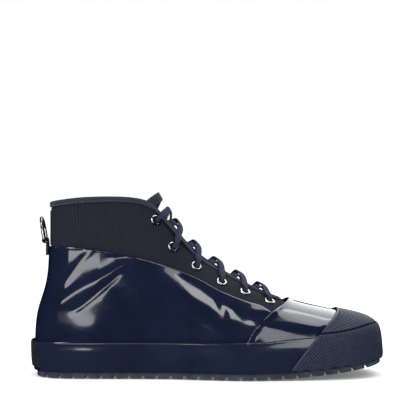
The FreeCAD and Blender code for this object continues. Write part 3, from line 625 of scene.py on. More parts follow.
def cord_place(u, p):
    """Distance round the collar, the same down each upright cord line."""
    fan = np.linspace(0.02, math.pi, 300)
    out = np.zeros(len(u))
    for side in (-1, 1):
        line = skin(side * fan, 0 * fan + 112.0)[:, :2]
        arc = run_of(line)
        mine = np.sign(np.sin(u) + 1e-9) == side
        turn = np.abs((u[mine] + math.pi) % (2 * math.pi) - math.pi)
        by_angle = np.interp(turn, fan, arc)
        x = p[mine, 0]
        order = np.argsort(line[:, 0])
        by_place = np.interp(x, line[order, 0], arc[order])
        by_place -= 1.04 * np.maximum(0.0, x + 38)
        mixed = by_angle + smoother((x + 118) / 14) * (by_place - by_angle)
        out[mine] = mixed
    return out


def canvas_outer(u, h, p):
    place = cord_place(u, p)
    wander = 0.25 * np.sin(place / 37) + 0.2 * np.sin(p[:, 2] / 21)
    cords = np.cos((place / CORD_PITCH + 0.1 * wander) * 2 * math.pi)
    cords = np.sign(cords) * np.abs(cords) ** 0.7
    soft = 0.35 * np.sin(place / 19 + 2 * np.sin(p[:, 2] / 33)) * np.sin(p[:, 2] / 17)
    return CANVAS_OUT + 0.08 * cords + 0.5 * soft


def eyelet_gap(centres, radius=3.0):
    """Field that is negative inside a bore round each eyelet's axis."""
    def gap(u, h, p):
        best = np.full(len(p), 99.0)
        for centre, axis in centres:
            reach = p - centre
            axial = reach @ axis
            radial = np.linalg.norm(reach - axial[:, None] * axis, axis=1)
            best = np.minimum(best, np.where(np.abs(axial) < 14, radial, 99.0))
        return best - radius
    return gap


def side_angles(side, count):
    """Angles over one side, from just beside the toe to just beside the heel."""
    return np.linspace(*sorted((side * 0.006, side * (math.pi - 0.0005))), count)


def make_canvas(side, label):
    patch = Patch(side_angles(side, 560), even_levels(50.0, COLLAR_TOP, 1.5))
    for field in (below_collar(EDGE_MARGIN), beside_throat(EDGE_MARGIN), canvas_foot,
                  eyelet_gap(EYELET_AXES[side])):
        patch.cut(field)
    piece = patch.solid("canvas_" + label + "_cloth", canvas_outer, flat(CANVAS_IN))
    corners = np.array([v.co[:] for v in piece.data.vertices]) / MM
    place = cord_place(np.tile(patch.uv[:, 0], 2), corners)
    tag(piece, "cord_phase", place / CORD_PITCH * 2 * math.pi)
    return piece


def make_lining(side, label):
    def inner(u, h, p):
        return LINING_IN + 0.12 * np.sin(p[:, 0] / 9) * np.sin(h / 8)
    levels = even_levels(15.6, COLLAR_TOP, 2.6)
    return panel("lining_" + label + "_cloth", side_angles(side, 120), levels, flat(LINING_OUT), inner,
                 (below_collar(LINING_MARGIN),), (beside_throat(LINING_MARGIN),),
                 (eyelet_gap(EYELET_AXES[side]),))


def backstay_edge(u, h, p):
    return np.minimum(np.minimum(8.0 - np.abs(p[:, 1]), h - 108.0), 137.0 - h)


def make_backstay():
    angles = np.linspace(math.pi - 0.5, math.pi + 0.5, 80)

    def outer(u, h, p):
        gap = backstay_edge(u, h, p)
        seam = 0.12 * np.exp(-((gap - 1.8) / 0.5) ** 2)
        return CANVAS_OUT + 0.9 - 0.35 * (1 - rounded(gap, 0.9)) - seam
    return panel("backstay_cloth", angles, np.linspace(107.0, 138.0, 40), outer,
                 flat(CANVAS_OUT + 0.2), (backstay_edge, 0.3, 0.9, 1.8))


# --------------------------------------------- crest coordinates for lacing
CREST_Z = np.arange(58.0, 163.0)
CREST_X = bisect(lambda x: depth_share(x, CREST_Z) > 0, 0 * CREST_Z - 60, 0 * CREST_Z + 165)
CREST_RUN = run_of(np.stack([CREST_X, CREST_Z], axis=1))


def crest_point(s):
    """(x, z) on the front outline at run s, carried on straight past its end."""
    over = np.maximum(0.0, s - CREST_RUN[-1])
    tip = np.array([CREST_X[-1] - CREST_X[-2], CREST_Z[-1] - CREST_Z[-2]])
    tip = tip / np.linalg.norm(tip)
    return (np.interp(s, CREST_RUN, CREST_X) + over * tip[0],
            np.interp(s, CREST_RUN, CREST_Z) + over * tip[1])


def saddle(s, d):
    """Angle and level at crest run s and signed sideways distance d."""
    s, d = np.broadcast_arrays(np.asarray(s, float), np.asarray(d, float))
    cx, cz = crest_point(s)
    ax, az = crest_point(s - 3)
    bx, bz = crest_point(s + 3)
    size = np.hypot(bx - ax, bz - az)
    tx, tz = (bx - ax) / size, (bz - az) / size
    side = np.where(d >= 0, 1.0, -1.0)
    depth = bisect(lambda t: np.abs(from_crest_line(cx - tz * t, cz + tx * t, side)) < np.abs(d),
                   0 * s, 0 * s + 45.0)
    x, z = cx - tz * depth, cz + tx * depth
    h = level_of(x, z)
    return angle_at_x(x, h, side), h


def run_at(x, z):
    """Crest run abreast of a point of the side view."""
    s = np.arange(4.0, CREST_RUN[-1] - 4, 0.05)
    cx, cz = crest_point(s)
    ax, az = crest_point(s - 3)
    bx, bz = crest_point(s + 3)
    ahead = (x - cx) * (bx - ax) + (z - cz) * (bz - az)
    return float(s[np.argmax(ahead < 0)])


EYELET_RADIUS = 4.8
EYELETS = [(52.1, 63.6), (31.8, 71.3), (12.4, 79.3), (-8.3, 92.0), (-27.3, 107.3), (-41.5, 129.2)]
PLACES = {}
EYELET_AXES = {}
for side in (-1, 1):
    PLACES[side] = []
    EYELET_AXES[side] = []
    for ex, ez in EYELETS:
        level = level_of(ex, ez)
        p = skin(np.array([angle_at_x(ex, level, side)]), np.array([level]))[0]
        clear = float(throat_half(ex)) + TAPE_DEPTH + EYELET_RADIUS + 0.35
        PLACES[side].append((run_at(ex, ez), max(abs(p[1] - float(crest_shift(ex))), clear)))
        u, h = saddle([PLACES[side][-1][0]], [side * PLACES[side][-1][1]])
        EYELET_AXES[side].append((skin(u, h)[0], outward(u, h)[0]))


# --------------------------------------------------- binding round the edge
def collar_level(u):
    """Level of the collar's edge at angle u, found by repetition."""
    h = 0 * u + 145.0
    for _ in range(14):
        h = collar_line(skin(u, h)[:, 0])
    return h


def facing_place(s, side):
    """Angle and level of the facing's edge at crest run s."""
    s = np.asarray(s, float)

    def inside(d):
        u, h = saddle(s, side * d)
        return d < throat_half(skin(u, h)[:, 0])
    return saddle(s, side * bisect(inside, 0 * s + 2.0, 0 * s + 25.0))


def edge_route(side):
    """The edge from the foot of the facing, up and round to the heel."""
    s = np.linspace(110.0, 166.0, 113)
    u, h = facing_place(s, side)
    p = skin(u, h)
    corner = s[np.argmax(p[:, 2] > collar_line(p[:, 0]))]
    s = np.linspace(24.0, corner - 4.5, 90)
    u0, h0 = facing_place(s, side)
    u_corner = facing_place([corner], side)[0][0]
    u1 = side * np.linspace(abs(u_corner) + 0.14, math.pi, 110)
    return np.concatenate([u0, u1]), np.concatenate([h0, collar_level(u1)])


def inward_steps(u, h, side):
    """Moves (du, dh) of 1 mm on the skin, square to the route, off the edge."""
    here = skin(u, h)
    along = unit(np.gradient(here, axis=0))
    along = unit(blurred(along, np.ones(9) / 9))
    square = np.cross(outward(u, h), along)
    wide = (skin(u + 0.004, h) - skin(u - 0.004, h)) * 125
    tall = (skin(u, h + 0.06) - skin(u, h - 0.06)) / 0.12
    ww, wt, tt = [(a * b).sum(1) for a, b in ((wide, wide), (wide, tall), (tall, tall))]
    sw, st = (square * wide).sum(1), (square * tall).sum(1)
    size = ww * tt - wt * wt
    return -side * (sw * tt - st * wt) / size, -side * (st * ww - sw * wt) / size


def tape_profile():
    """Closed section of the folded tape as (in from edge, offset)."""
    rows = []
    # The outer face, with a groove where the stitches sink in.
    for b in (TAPE_DEPTH, 4.3, 3.95, 3.6, 3.3, 3.0, 2.2, 1.2, 0.5):
        dent = 0.22 * math.exp(-((b - STITCH_IN) / 0.28) ** 2)
        crown = 0.35 * math.sin(math.pi * b / (TAPE_DEPTH + 0.3))
        rows.append((b, TAPE_OUT + crown - dent - 0.4 * max(0.0, b - 4.2) / 0.3))
    rows += [(0.05, TAPE_OUT - 0.25), (-0.2, TAPE_OUT - 0.9), (-0.25, (TAPE_OUT + TAPE_IN) / 2),
             (-0.2, TAPE_IN + 0.9), (0.05, TAPE_IN + 0.25)]
    for b in (0.5, 1.5, 3.0, 4.1, TAPE_DEPTH):
        rows.append((b, TAPE_IN))
    rows += [(TAPE_DEPTH, TAPE_IN + TAPE), (TAPE, TAPE_IN + TAPE), (TAPE, TAPE_OUT - TAPE),
             (TAPE_DEPTH, TAPE_OUT - TAPE)]
    return rows


def ring_faces(count, size, closed):
    """Faces between a run of rings, capped at the ends unless closed."""
    faces = []
    for i in range(count if closed else count - 1):
        a, b = i * size, ((i + 1) % count) * size
        for k in range(size):
            n = (k + 1) % size
            faces.append([a + k, a + n, b + n, b + k])
    if not closed:
        faces.append(list(range(size))[::-1])
        faces.append([(count - 1) * size + k for k in range(size)])
    return faces


def tube(rings, name, closed=False, sharp=38):
    """Closed mesh through a run of rings (count, ring size, 3)."""
    rings = np.asarray(rings)
    faces = ring_faces(*rings.shape[:2], closed)
    piece = mesh_piece(name, rings.reshape(-1, 3), faces, sharp)
    outward_faces(piece)
    return piece


def outward_faces(piece):
    work = bmesh.new()
    work.from_mesh(piece.data)
    bmesh.ops.recalc_face_normals(work, faces=work.faces[:])
    work.to_mesh(piece.data)
    work.free()


def join_meshes(name, parts):
    """One piece from (points in mm, faces) lists."""
    points, faces = [], []
    base = 0
    for part_points, part_faces in parts:
        points.append(np.asarray(part_points))
        faces += [[k + base for k in face] for face in part_faces]
        base += len(part_points)
    piece = mesh_piece(name, np.concatenate(points), faces)
    outward_faces(piece)
    return piece


def fold_places(u, h, side, b):
    """The edge route moved b mm in from the edge."""
    du, dh = inward_steps(u, h, side)
    return u + du * b, h + dh * b


def make_binding():
    halves = []
    for side in (1, -1):
        u, h = edge_route(side)
        rings = []
        for b, t in tape_profile():
            uu, hh = fold_places(u, h, side, b)
            rings.append(at(uu, hh, 0 * uu + t))
        halves.append(np.stack(rings, axis=1))
    rings = np.concatenate([halves[0][:-1], (halves[0][-1:] + halves[1][-1:]) / 2, halves[1][-2::-1]])
    return tube(rings, "collar_binding_tape")


STITCH_SIDES = 6
# (share of the stitch's length, share of its full thickness)
STITCH_PROFILE = [(0.0, 0.35), (0.15, 0.85), (0.5, 1.0), (0.85, 0.85), (1.0, 0.35)]


def capsule(start, end, up, breadth, thick):
    """Small rounded stitch between two points, as (points, faces)."""
    heading = unit(end - start)
    side = unit(np.cross(up, heading))
    lift = np.cross(heading, side)
    points = []
    for share, size in STITCH_PROFILE:
        middle = start + (end - start) * share + up * thick * 0.5 * math.sin(math.pi * share)
        for k in range(STITCH_SIDES):
            a = 2 * math.pi * k / STITCH_SIDES
            wide = side * breadth * size * math.cos(a)
            points.append(middle + wide + lift * thick * size * math.sin(a))
    return points, ring_faces(len(STITCH_PROFILE), STITCH_SIDES, closed=False)


def stitch_row(points, normals, pitch=2.6, length=1.9, lift=0.12):
    """Stitches along a run of points."""
    points = np.asarray(points)
    run = run_of(points)
    parts = []
    for s in np.arange(pitch, run[-1] - pitch, pitch):
        ends = []
        for at_run in (s - length / 2, s + length / 2):
            ends.append(np.array([np.interp(at_run, run, points[:, k]) for k in range(3)]))
        up = unit(np.array([np.interp(s, run, normals[:, k]) for k in range(3)]))
        parts.append(capsule(ends[0] + up * lift, ends[1] + up * lift, up, 0.24, 0.2))
    return parts


def make_binding_stitches():
    parts = []
    for side in (1, -1):
        u, h = edge_route(side)
        uu, hh = fold_places(u, h, side, STITCH_IN)
        parts += stitch_row(at(uu, hh, 0 * uu + TAPE_OUT - 0.05), outward(uu, hh))
    return join_meshes("binding_stitches", parts)


# ------------------------------------------------------------------- tongue
TONGUE_HALF, TONGUE_ROLL, TONGUE_LOW, TONGUE_TOP = 21.0, 15.0, 12.0, 164.0
HEM_DEPTH, HEM_IN, HEM_OUT = 8.0, 0.4, 1.25


def tongue_cover(s, d):
    """Offset of the tongue's face at crest run s, d mm aside; its top rolls out."""
    padding = 0.6 * smoother((s - 40) / 25) * np.maximum(0.0, 1 - (d / TONGUE_ROLL) ** 2) ** 2
    roll = 9.05 * smoother((s - 148.5) / 10) * np.maximum(0.0, 1 - (d / TONGUE_ROLL) ** 2) ** 2
    return LINING_IN - 4.35 + padding + roll


def tongue_points(q, s, lift):
    """Points at crest run s, at share q of the way from middle to side."""
    width = TONGUE_HALF - 5.5 * (1 - smoother((s - 12) / 40))
    d = q * width
    u, h = saddle(s, d)
    return at(u, h, tongue_cover(s, d) + lift)


def tongue_mesh(name, low, high, reach, outer, inner, across, rows):
    """Padded sheet between two crest runs, thinned round its border."""
    q = np.linspace(-1, 1, across)
    grid_q, grid_v = np.meshgrid(q, np.linspace(0, 1, rows), indexing="ij")
    top = high - 5.0 * grid_q ** 2
    bottom = low + 5.0 * grid_q ** 2 if low == TONGUE_LOW else top - (high - low)
    s = bottom + (top - bottom) * grid_v
    q, s, v = (grid_q * reach).ravel(), s.ravel(), grid_v.ravel()
    border = np.minimum(1 - np.abs(grid_q.ravel()), 4 * np.minimum(v, 1 - v))
    border = rounded(np.minimum(border * 14, 3.0), 1.5)
    upper = tongue_points(q, s, outer - 0.45 * (outer - inner) * (1 - border))
    lower = tongue_points(q, s, inner + 0.45 * (outer - inner) * (1 - border))
    piece = thick_sheet(name, upper, lower, grid_faces(across, rows), sharp=60)
    outward_faces(piece)
    return piece, np.concatenate([q, q]), np.concatenate([s, s])


CLOTH_FRAMES = 15


def puff(piece, held, pressure, reach):
    """Inflate a padded piece by cloth simulation, then apply the result."""
    group = piece.vertex_groups.new(name="held")
    for k, weight in enumerate(held):
        if weight > 0:
            group.add([k], float(weight), "REPLACE")
    cloth = piece.modifiers.new("cloth", "CLOTH")
    settings = {"quality": 6, "mass": 0.2, "tension_stiffness": 22, "compression_stiffness": 22,
                "bending_stiffness": 0.6, "use_pressure": True, "uniform_pressure_force": pressure,
                "vertex_group_mass": "held"}
    for key, value in settings.items():
        setattr(cloth.settings, key, value)
    cloth.settings.effector_weights.gravity = 0
    cloth.collision_settings.use_collision = False
    start = np.array([v.co[:] for v in piece.data.vertices])
    scene = bpy.context.scene
    for frame_number in range(1, CLOTH_FRAMES + 1):
        scene.frame_set(frame_number)
    shaped = piece.evaluated_get(bpy.context.evaluated_depsgraph_get())
    moved = np.array([v.co[:] for v in shaped.data.vertices])
    piece.modifiers.remove(cloth)
    scene.frame_set(1)
    step = moved - start
    size = np.linalg.norm(step, axis=1, keepdims=True)
    step *= np.minimum(1.0, reach * MM / np.maximum(size, 1e-9))
    for v, place in zip(piece.data.vertices, start + step):
        v.co = Vector(place)


def make_tongue():
    piece, q, s = tongue_mesh("tongue_pad", TONGUE_LOW, TONGUE_TOP, 1.0, 0.0, -2.5, 31, 96)
    seam = np.minimum(np.abs(np.abs(q) - 0.86), np.abs(q) * 3)
    held = np.where(np.minimum(seam, 1 - np.abs(q)) < 0.05, 1.0, 0.0)
    held = np.maximum(held, np.where((s < 20) | (s > 156.5), 1.0, 0.0))
    puff(piece, held, 4.0, 0.45)
    return piece


def make_hem():
    return tongue_mesh("tongue_hem_band", TONGUE_TOP - HEM_DEPTH, TONGUE_TOP, 0.97, HEM_OUT, HEM_IN,
                       41, 16)[0]


def make_hem_stitches():
    parts = []
    q = np.linspace(-0.93, 0.93, 60)
    for down in (1.1, 6.9):
        s = TONGUE_TOP - 5.0 * q ** 2 - down
        points = tongue_points(q, s, 0 * q + HEM_OUT)
        near = tongue_points(q, s, 0 * q + HEM_OUT + 1)
        parts += stitch_row(points, near - points, 2.4, 1.7, 0.02)
    return join_meshes("hem_stitches", parts)


# ------------------------------------------------------------------ eyelets
def revolve(profile, centre, axis, count=28):
    """(points, faces) of a closed (radius, height) profile round an axis."""
    across = unit(np.cross(axis, np.array([0.3, 0.1, 0.9])))
    third = np.cross(axis, across)
    points = []
    for i in range(count):
        a = 2 * math.pi * i / count
        ray = across * math.cos(a) + third * math.sin(a)
        for r, z in profile:
            points.append(centre + ray * r + axis * z)
    return points, ring_faces(count, len(profile), closed=True)


def make_eyelets(side, label):
    face = CANVAS_OUT + 0.2
    tail = LINING_IN - 0.45
    profile = [(2.5, face - 0.1), (2.56, face + 0.35), (2.8, face + 0.7), (3.3, face + 0.92),
               (3.9, face + 0.9), (4.45, face + 0.62), (4.75, face + 0.25), (EYELET_RADIUS, face + 0.02),
               (2.9, face), (2.9, tail), (3.85, tail), (3.9, tail - 0.3), (2.7, tail - 0.35),
               (2.5, tail - 0.15)]
    parts = [revolve(profile, centre, axis) for centre, axis in EYELET_AXES[side]]
    return join_meshes("eyelet_rings_" + label, parts)


# --------------------------------------------------------------------- lace
# Offsets of the lace's middle: under the facings, over them, in an eyelet's
# bore, and where the two ends lie one on the other behind the crossings.
UNDER = LINING_IN - 2.25
OVER = TAPE_OUT + 1.15
BORE = (CANVAS_OUT + LINING_IN) / 2
TUCK = OVER - 3.6
LOW_TUCK = TUCK - 2.05
LACE_BREADTH, LACE_GAUGE = 6.0, 1.7


def crossing(near, far, high):
    """Way-points (run, sideways, offset) over the crest to the next bore."""
    (s0, d0), (s1, d1) = near, far
    g0 = float(throat_half(crest_point(s0)[0]))
    g1 = float(throat_half(crest_point(s1)[0]))
    if high:
        ahead, middle, behind = OVER + 1.6, OVER + 2.4, OVER + 1.75
    else:
        ahead, middle, behind = OVER - 0.1, OVER - 0.4, OVER - 0.85
    steps = [
        (-(d0 - 0.1), 0.00, BORE),
        (-(d0 - 0.2), 0.00, CANVAS_OUT + 0.9),
        (-(d0 - 1.5), 0.02, OVER + 0.3),
        (-(d0 - 4.2), 0.08, OVER + 0.45),
        (-(g0 + 2.0), 0.20, OVER + 0.3),
        (-g0 * 0.52, 0.34, ahead),
        (0.0, 0.50, middle),
        (g1 * 0.46, 0.62, behind),
        (g1 * 0.69, 0.71, behind * 0.45 + UNDER * 0.55),
        (g1 - 1.9, 0.79, UNDER),
        (d1 - 4.0, 0.92, UNDER),
        (d1 - 1.8, 0.97, UNDER - 0.05),
        (d1 - 0.4, 1.00, LINING_IN - 0.85),
    ]
    return [(s0 + (s1 - s0) * share, d, t) for d, share, t in steps]


def one_run(side, high):
    """From the bar at the foot up to the tucked tail, in (s, d, t)."""
    s0, d0 = PLACES[side][0]
    middle = (PLACES[-1][0][0] + PLACES[1][0][0]) / 2
    way = [(middle, 0.0, UNDER), (s0, side * 7.0, UNDER), (s0, side * (d0 - 3.6), UNDER),
           (s0, side * (d0 - 1.8), UNDER - 0.05), (s0, side * (d0 - 0.4), LINING_IN - 0.85)]
    facing = side
    for k in range(len(EYELETS) - 1):
        for s, d, t in crossing(PLACES[facing][k], PLACES[-facing][k + 1], high):
            way.append((s, -facing * d, t))
        facing = -facing
        high = not high
    top_s, top_d = PLACES[facing][-1]
    g = float(throat_half(crest_point(top_s)[0]))
    first = [(0, top_d - 0.1, BORE), (0, top_d - 0.2, CANVAS_OUT + 0.9),
             (0.3, top_d - 1.5, OVER + 0.3), (0.8, top_d - 4.4, OVER + 0.45)]
    if high:
        tuck = [(1.8, g * 0.72, OVER + 1.1), (2.0, g * 0.36, OVER + 2.3), (-0.4, 2.4, OVER + 1.7),
                (-3.9, 0.4, OVER - 0.5), (-7.8, 0.0, TUCK + 0.1)]
        lane, reach = TUCK, 85.0
    else:
        tuck = [(1.0, g * 0.72, OVER + 0.2), (0.6, g * 0.36, OVER - 1.4), (-1.4, 2.2, OVER - 3.7),
                (-4.4, 0.4, TUCK - 2.0), (-7.6, 0.0, LOW_TUCK)]
        lane, reach = LOW_TUCK, 62.0
    tail = [(-ds, 0.0, lane) for ds in np.linspace(15.0, reach, 7)]
    for ds, d, t in first + tuck + tail:
        way.append((top_s + ds, facing * d, t))
    return way


def lace_rings(rows, per_step=6, around=18):
    """Puffy flat sections along one run, breadth lying on the skin."""
    path = smooth_line(rows, per_step)
    u, h = saddle(path[:, 0], path[:, 1])
    centre = at(u, h, path[:, 2])
    normal = outward(u, h)
    heading = unit(np.gradient(centre, axis=0))
    flat = heading - normal * (heading * normal).sum(1, keepdims=True)
    size = np.linalg.norm(flat, axis=1)
    across = [unit(np.cross(normal[0], flat[0]))]
    for k in range(1, len(path)):
        if size[k] > 0.35:
            broad = unit(np.cross(normal[k], flat[k]))
            across.append(broad if broad @ across[-1] > 0 else -broad)
        else:
            across.append(across[-1])
    across = blurred(np.array(across), np.ones(17) / 17)
    across = unit(across - heading * (across * heading).sum(1, keepdims=True))
    thick = np.cross(heading, across)
    gaps = np.full(len(path), 99.0)
    for k in range(6):
        for side in (-1, 1):
            s, d = PLACES[side][k]
            gaps = np.minimum(gaps, np.hypot(path[:, 0] - s, path[:, 1] - side * d))
    squeeze = 1 - smoother((gaps - 2.0) / 4.0)
    run = run_of(centre)
    breadth = LACE_BREADTH / 2 * (1 - 0.42 * squeeze) * (1 + 0.035 * np.sin(run / 5.3))
    gauge = LACE_GAUGE / 2 * (1 - 0.1 * squeeze) * (1 + 0.06 * np.sin(run / 3.7 + 1))
    angle = np.linspace(0, 2 * math.pi, around, endpoint=False)
    ca, sa = np.cos(angle), np.sin(angle)
    ex = np.sign(ca) * np.abs(ca) ** 0.62
    ey = np.sign(sa) * np.abs(sa) ** 0.8
    rings = centre[:, None] + across[:, None] * (breadth[:, None] * ex)[..., None] \
        + thick[:, None] * (gauge[:, None] * ey)[..., None]
    return rings, run, centre, heading


def make_lace():
    lateral, run_l, centre_l, heading_l = lace_rings(one_run(-1, True))
    medial, run_m, centre_m, heading_m = lace_rings(one_run(1, False))
    count = lateral.shape[1]
    options = []
    for shift in range(count):
        for turned in (np.roll(medial[0], shift, axis=0), np.roll(medial[0][::-1], shift, axis=0)):
            options.append(np.linalg.norm(turned - lateral[0]))
    best = int(np.argmin(options))
    shift, mirrored = best // 2, best % 2
    order = np.roll(np.arange(count)[::-1] if mirrored else np.arange(count), shift)
    medial = medial[:, order]
    rings = np.concatenate([medial[:0:-1], lateral])
    run = np.concatenate([-run_m[:0:-1], run_l])
    piece = tube(rings, "lace_flat", sharp=70)
    tag(piece, "lace_run", np.repeat(run, count))
    around = np.linspace(0, 2 * math.pi, count, endpoint=False)
    tag(piece, "lace_across", np.tile(np.cos(around) * 3, len(rings)))
    return piece, [(centre_l[-1], heading_l[-1]), (centre_m[-1], heading_m[-1])]


def make_aglets(ends):
    profile = [(0.2, 0.06), (0.85, 0.08), (1.05, 0.35), (1.08, 3.0), (0.98, 3.3), (1.08, 3.6),
               (1.08, 11.0), (0.98, 11.3), (1.08, 11.6), (1.05, 15.3), (0.8, 15.85), (0.2, 15.9)]
    parts = [revolve(profile, centre, heading, 16) for centre, heading in ends]
    return join_meshes("aglet_tips", parts)


# ---------------------------------------------------------- heel ring, loop
RING_PLACE = np.array([-136.2, 0.0, 112.0])
RING_LEAN = math.radians(10)


def make_ring():
    """Wire D ring: a bar, two uprights and an arch, leaning back."""
    radius, leg, bend, wire = 9.2, 9.7, 1.2, 1.3
    upright = [(radius - bend + bend * math.sin(a), bend - bend * math.cos(a))
               for a in np.linspace(0.2, math.pi / 2, 6)]
    upright += [(radius, z) for z in np.linspace(2 * bend, leg, 7)]
    bar = [(y, 0.0) for y in np.linspace(bend - radius, radius - bend, 16)]
    arch = [(radius * math.cos(a), leg + radius * math.sin(a))
            for a in np.linspace(0.08, math.pi - 0.08, 36)]
    path = np.array(bar + upright + arch + [(-y, z) for y, z in reversed(upright)])
    lean = np.array([-math.sin(RING_LEAN), 0.0, math.cos(RING_LEAN)])
    points = RING_PLACE + path[:, :1] * np.array([0, 1.0, 0]) + path[:, 1:] * lean
    heading = unit(np.roll(points, -1, axis=0) - np.roll(points, 1, axis=0))
    front = np.cross(np.array([0, 1.0, 0]), lean)
    side = np.cross(heading, front)
    angle = np.linspace(0, 2 * math.pi, 16, endpoint=False)
    rings = points[:, None] + wire * (np.cos(angle)[None, :, None] * front
                                      + np.sin(angle)[None, :, None] * side[:, None])
    return tube(rings, "heel_ring_wire", closed=True)


def make_ring_loop():
    """Webbing folded round the ring's bar and sewn down the heel."""
    cx, cz = RING_PLACE[0], RING_PLACE[2]
    radius = 2.12
    # Up the outer ply, round the bar and down the inner ply.
    path = [(-134.88, z) for z in np.linspace(99.2, 109.0, 8)]
    turn = np.linspace(math.radians(-40), math.radians(-338), 30)
    path += [(cx + radius * math.cos(a), cz + radius * math.sin(a)) for a in turn]
    path += [(-133.93, z) for z in np.linspace(110.2, 99.2, 9)]
    path = blurred(np.array(path), [0.25, 0.5, 0.25])
    heading = np.gradient(path, axis=0)
    heading /= np.linalg.norm(heading, axis=1, keepdims=True)
    out = np.stack([-heading[:, 1], heading[:, 0]], axis=1)
    half, thick = 6.0, 0.44
    section = [(-half, -0.5), (-half + 0.5, -1), (0, -1), (half - 0.5, -1), (half, -0.5), (half, 0.5),
               (half - 0.5, 1), (0, 1), (-half + 0.5, 1), (-half, 0.5)]
    rings = []
    for (x, z), (ox, oz) in zip(path, out):
        rings.append([(x + ox * thick * t, y, z + oz * thick * t) for y, t in section])
    return tube(rings, "ring_loop_webbing", sharp=60)


# ------------------------------------------------------------------ footbed
def make_footbed():
    u = np.linspace(-math.pi, math.pi, 160, endpoint=False)
    outline = at(u, 0 * u + 17.0, 0 * u - 6.7)
    rings = []
    # Share of the outline and level, from the middle underneath to the middle on top.
    for share, h in ((0.02, 15.3), (0.9, 15.3), (0.995, 15.5), (1.0, 16.2), (1.0, 18.0), (0.99, 18.6),
                     (0.97, 18.9), (0.85, 18.4), (0.6, 18.1), (0.3, 18.2), (0.02, 18.3)):
        x = 5.0 + (outline[:, 0] - 5.0) * share
        y = 1.0 + (outline[:, 1] - 1.0) * share
        rings.append(np.stack([x, y, level_z(x, h)], axis=1))
    return tube(rings, "footbed_cloth_pad", sharp=60)


# ---------------------------------------------------------------- materials
BANDS = 0.318  # wave texture scale for one band to a unit of length


class Signal:
    """A number running through the nodes; + and * on it add Math nodes."""

    def __init__(self, tree, socket):
        self.tree = tree
        self.socket = socket

    def maths(self, operation, other=0.0):
        item = self.tree.nodes.new("ShaderNodeMath")
        item.operation = operation
        self.tree.links.new(self.socket, item.inputs[0])
        if isinstance(other, Signal):
            self.tree.links.new(other.socket, item.inputs[1])
        else:
            item.inputs[1].default_value = other
        return Signal(self.tree, item.outputs[0])

    def __add__(self, other):
        return self.maths("ADD", other)

    def __mul__(self, other):
        return self.maths("MULTIPLY", other)

    def spread(self, low, high, start=0.3, end=0.7):
        """start to end becomes low to high, clamped."""
        item = self.tree.nodes.new("ShaderNodeMapRange")
        self.tree.links.new(self.socket, item.inputs["Value"])
        for value, key in ((start, "From Min"), (end, "From Max"), (low, "To Min"), (high, "To Max")):
            item.inputs[key].default_value = value
        return Signal(self.tree, item.outputs[0])


class Paint:
    """A material in the making: its shader and the nodes that feed it."""

    def __init__(self, name, colour, rough, metal=0.0, **extra):
        self.material = bpy.data.materials.new(name)
        self.material.use_nodes = True
        self.tree = self.material.node_tree
        self.shader = self.tree.nodes["Principled BSDF"]
        self.place = self.tree.nodes.new("ShaderNodeTexCoord").outputs["Object"]
        values = {"Base Color": (*colour, 1), "Roughness": rough, "Metallic": metal, **extra}
        for key, value in values.items():
            self.shader.inputs[key.replace("_", " ")].default_value = value

    def node(self, kind, source, **values):
        """A node fed by source, with its inputs or settings given by name."""
        item = self.tree.nodes.new(kind)
        for key, value in values.items():
            if key in item.inputs:
                item.inputs[key].default_value = value
            else:
                setattr(item, key, value)
        if source:
            self.tree.links.new(source, item.inputs["Vector"])
        return item

    def attribute(self, name):
        item = self.node("ShaderNodeAttribute", None, attribute_name=name)
        return Signal(self.tree, item.outputs["Fac"])

    def noise(self, scale, detail=3.0, stretch=None):
        place = self.place
        if stretch:
            place = self.node("ShaderNodeMapping", place, Scale=stretch).outputs[0]
        item = self.node("ShaderNodeTexNoise", place, Scale=scale, Detail=detail)
        return Signal(self.tree, item.outputs["Fac"])

    def wave(self, axis, pitch, distort=0.25):
        """Bands square to an axis, one to each pitch in mm."""
        item = self.node("ShaderNodeTexWave", self.place, Scale=BANDS / (pitch * MM), Distortion=distort,
                         bands_direction=axis)
        item.inputs["Detail Scale"].default_value = 2.0
        return Signal(self.tree, item.outputs["Fac"])

    def feed(self, socket, signal):
        self.tree.links.new(signal.socket, self.shader.inputs[socket])

    def tones(self, pattern, dark, light):
        """Colour varied between two tones by a pattern."""
        item = self.tree.nodes.new("ShaderNodeMix")
        item.data_type = "RGBA"
        self.tree.links.new(pattern.socket, item.inputs["Factor"])
        item.inputs["A"].default_value = (*dark, 1)
        item.inputs["B"].default_value = (*light, 1)
        self.tree.links.new(item.outputs["Result"], self.shader.inputs["Base Color"])

    def bump(self, *layers):
        """Chain of (height, strength, distance in mm) bumps on the shader."""
        previous = None
        for height, strength, distance in layers:
            item = self.tree.nodes.new("ShaderNodeBump")
            item.inputs["Strength"].default_value = strength
            item.inputs["Distance"].default_value = distance * MM
            self.tree.links.new(height.socket, item.inputs["Height"])
            if previous:
                self.tree.links.new(previous, item.inputs["Normal"])
            previous = item.outputs["Normal"]
        self.tree.links.new(previous, self.shader.inputs["Normal"])


def gloss_rubber(name, dark, light, low=0.05, high=0.17):
    paint = Paint(name, dark, 0.12, Coat_Weight=1.0, Coat_Roughness=0.06, Coat_IOR=1.5, IOR=1.5)
    paint.tones(paint.noise(45.0).spread(0.0, 1.0), dark, light)
    streaks = paint.noise(60.0, 5.0, stretch=(1.0, 1.0, 3.0))
    paint.feed("Roughness", streaks.spread(low, high))
    paint.bump((paint.noise(70.0, 2.0), 0.18, 0.35), (paint.noise(700.0, 2.0), 0.015, 0.05))
    return paint.material


def matt_rubber(name, dark, light, grain=1600.0, rough=0.55, depth=0.12):
    paint = Paint(name, dark, rough, IOR=1.48)
    paint.tones(paint.noise(130.0, 5.0).spread(0.0, 1.0), dark, light)
    paint.feed("Roughness", paint.noise(300.0, 6.0).spread(rough - 0.12, rough + 0.14))
    paint.bump((paint.noise(grain, 4.0), 0.5, depth))
    return paint.material


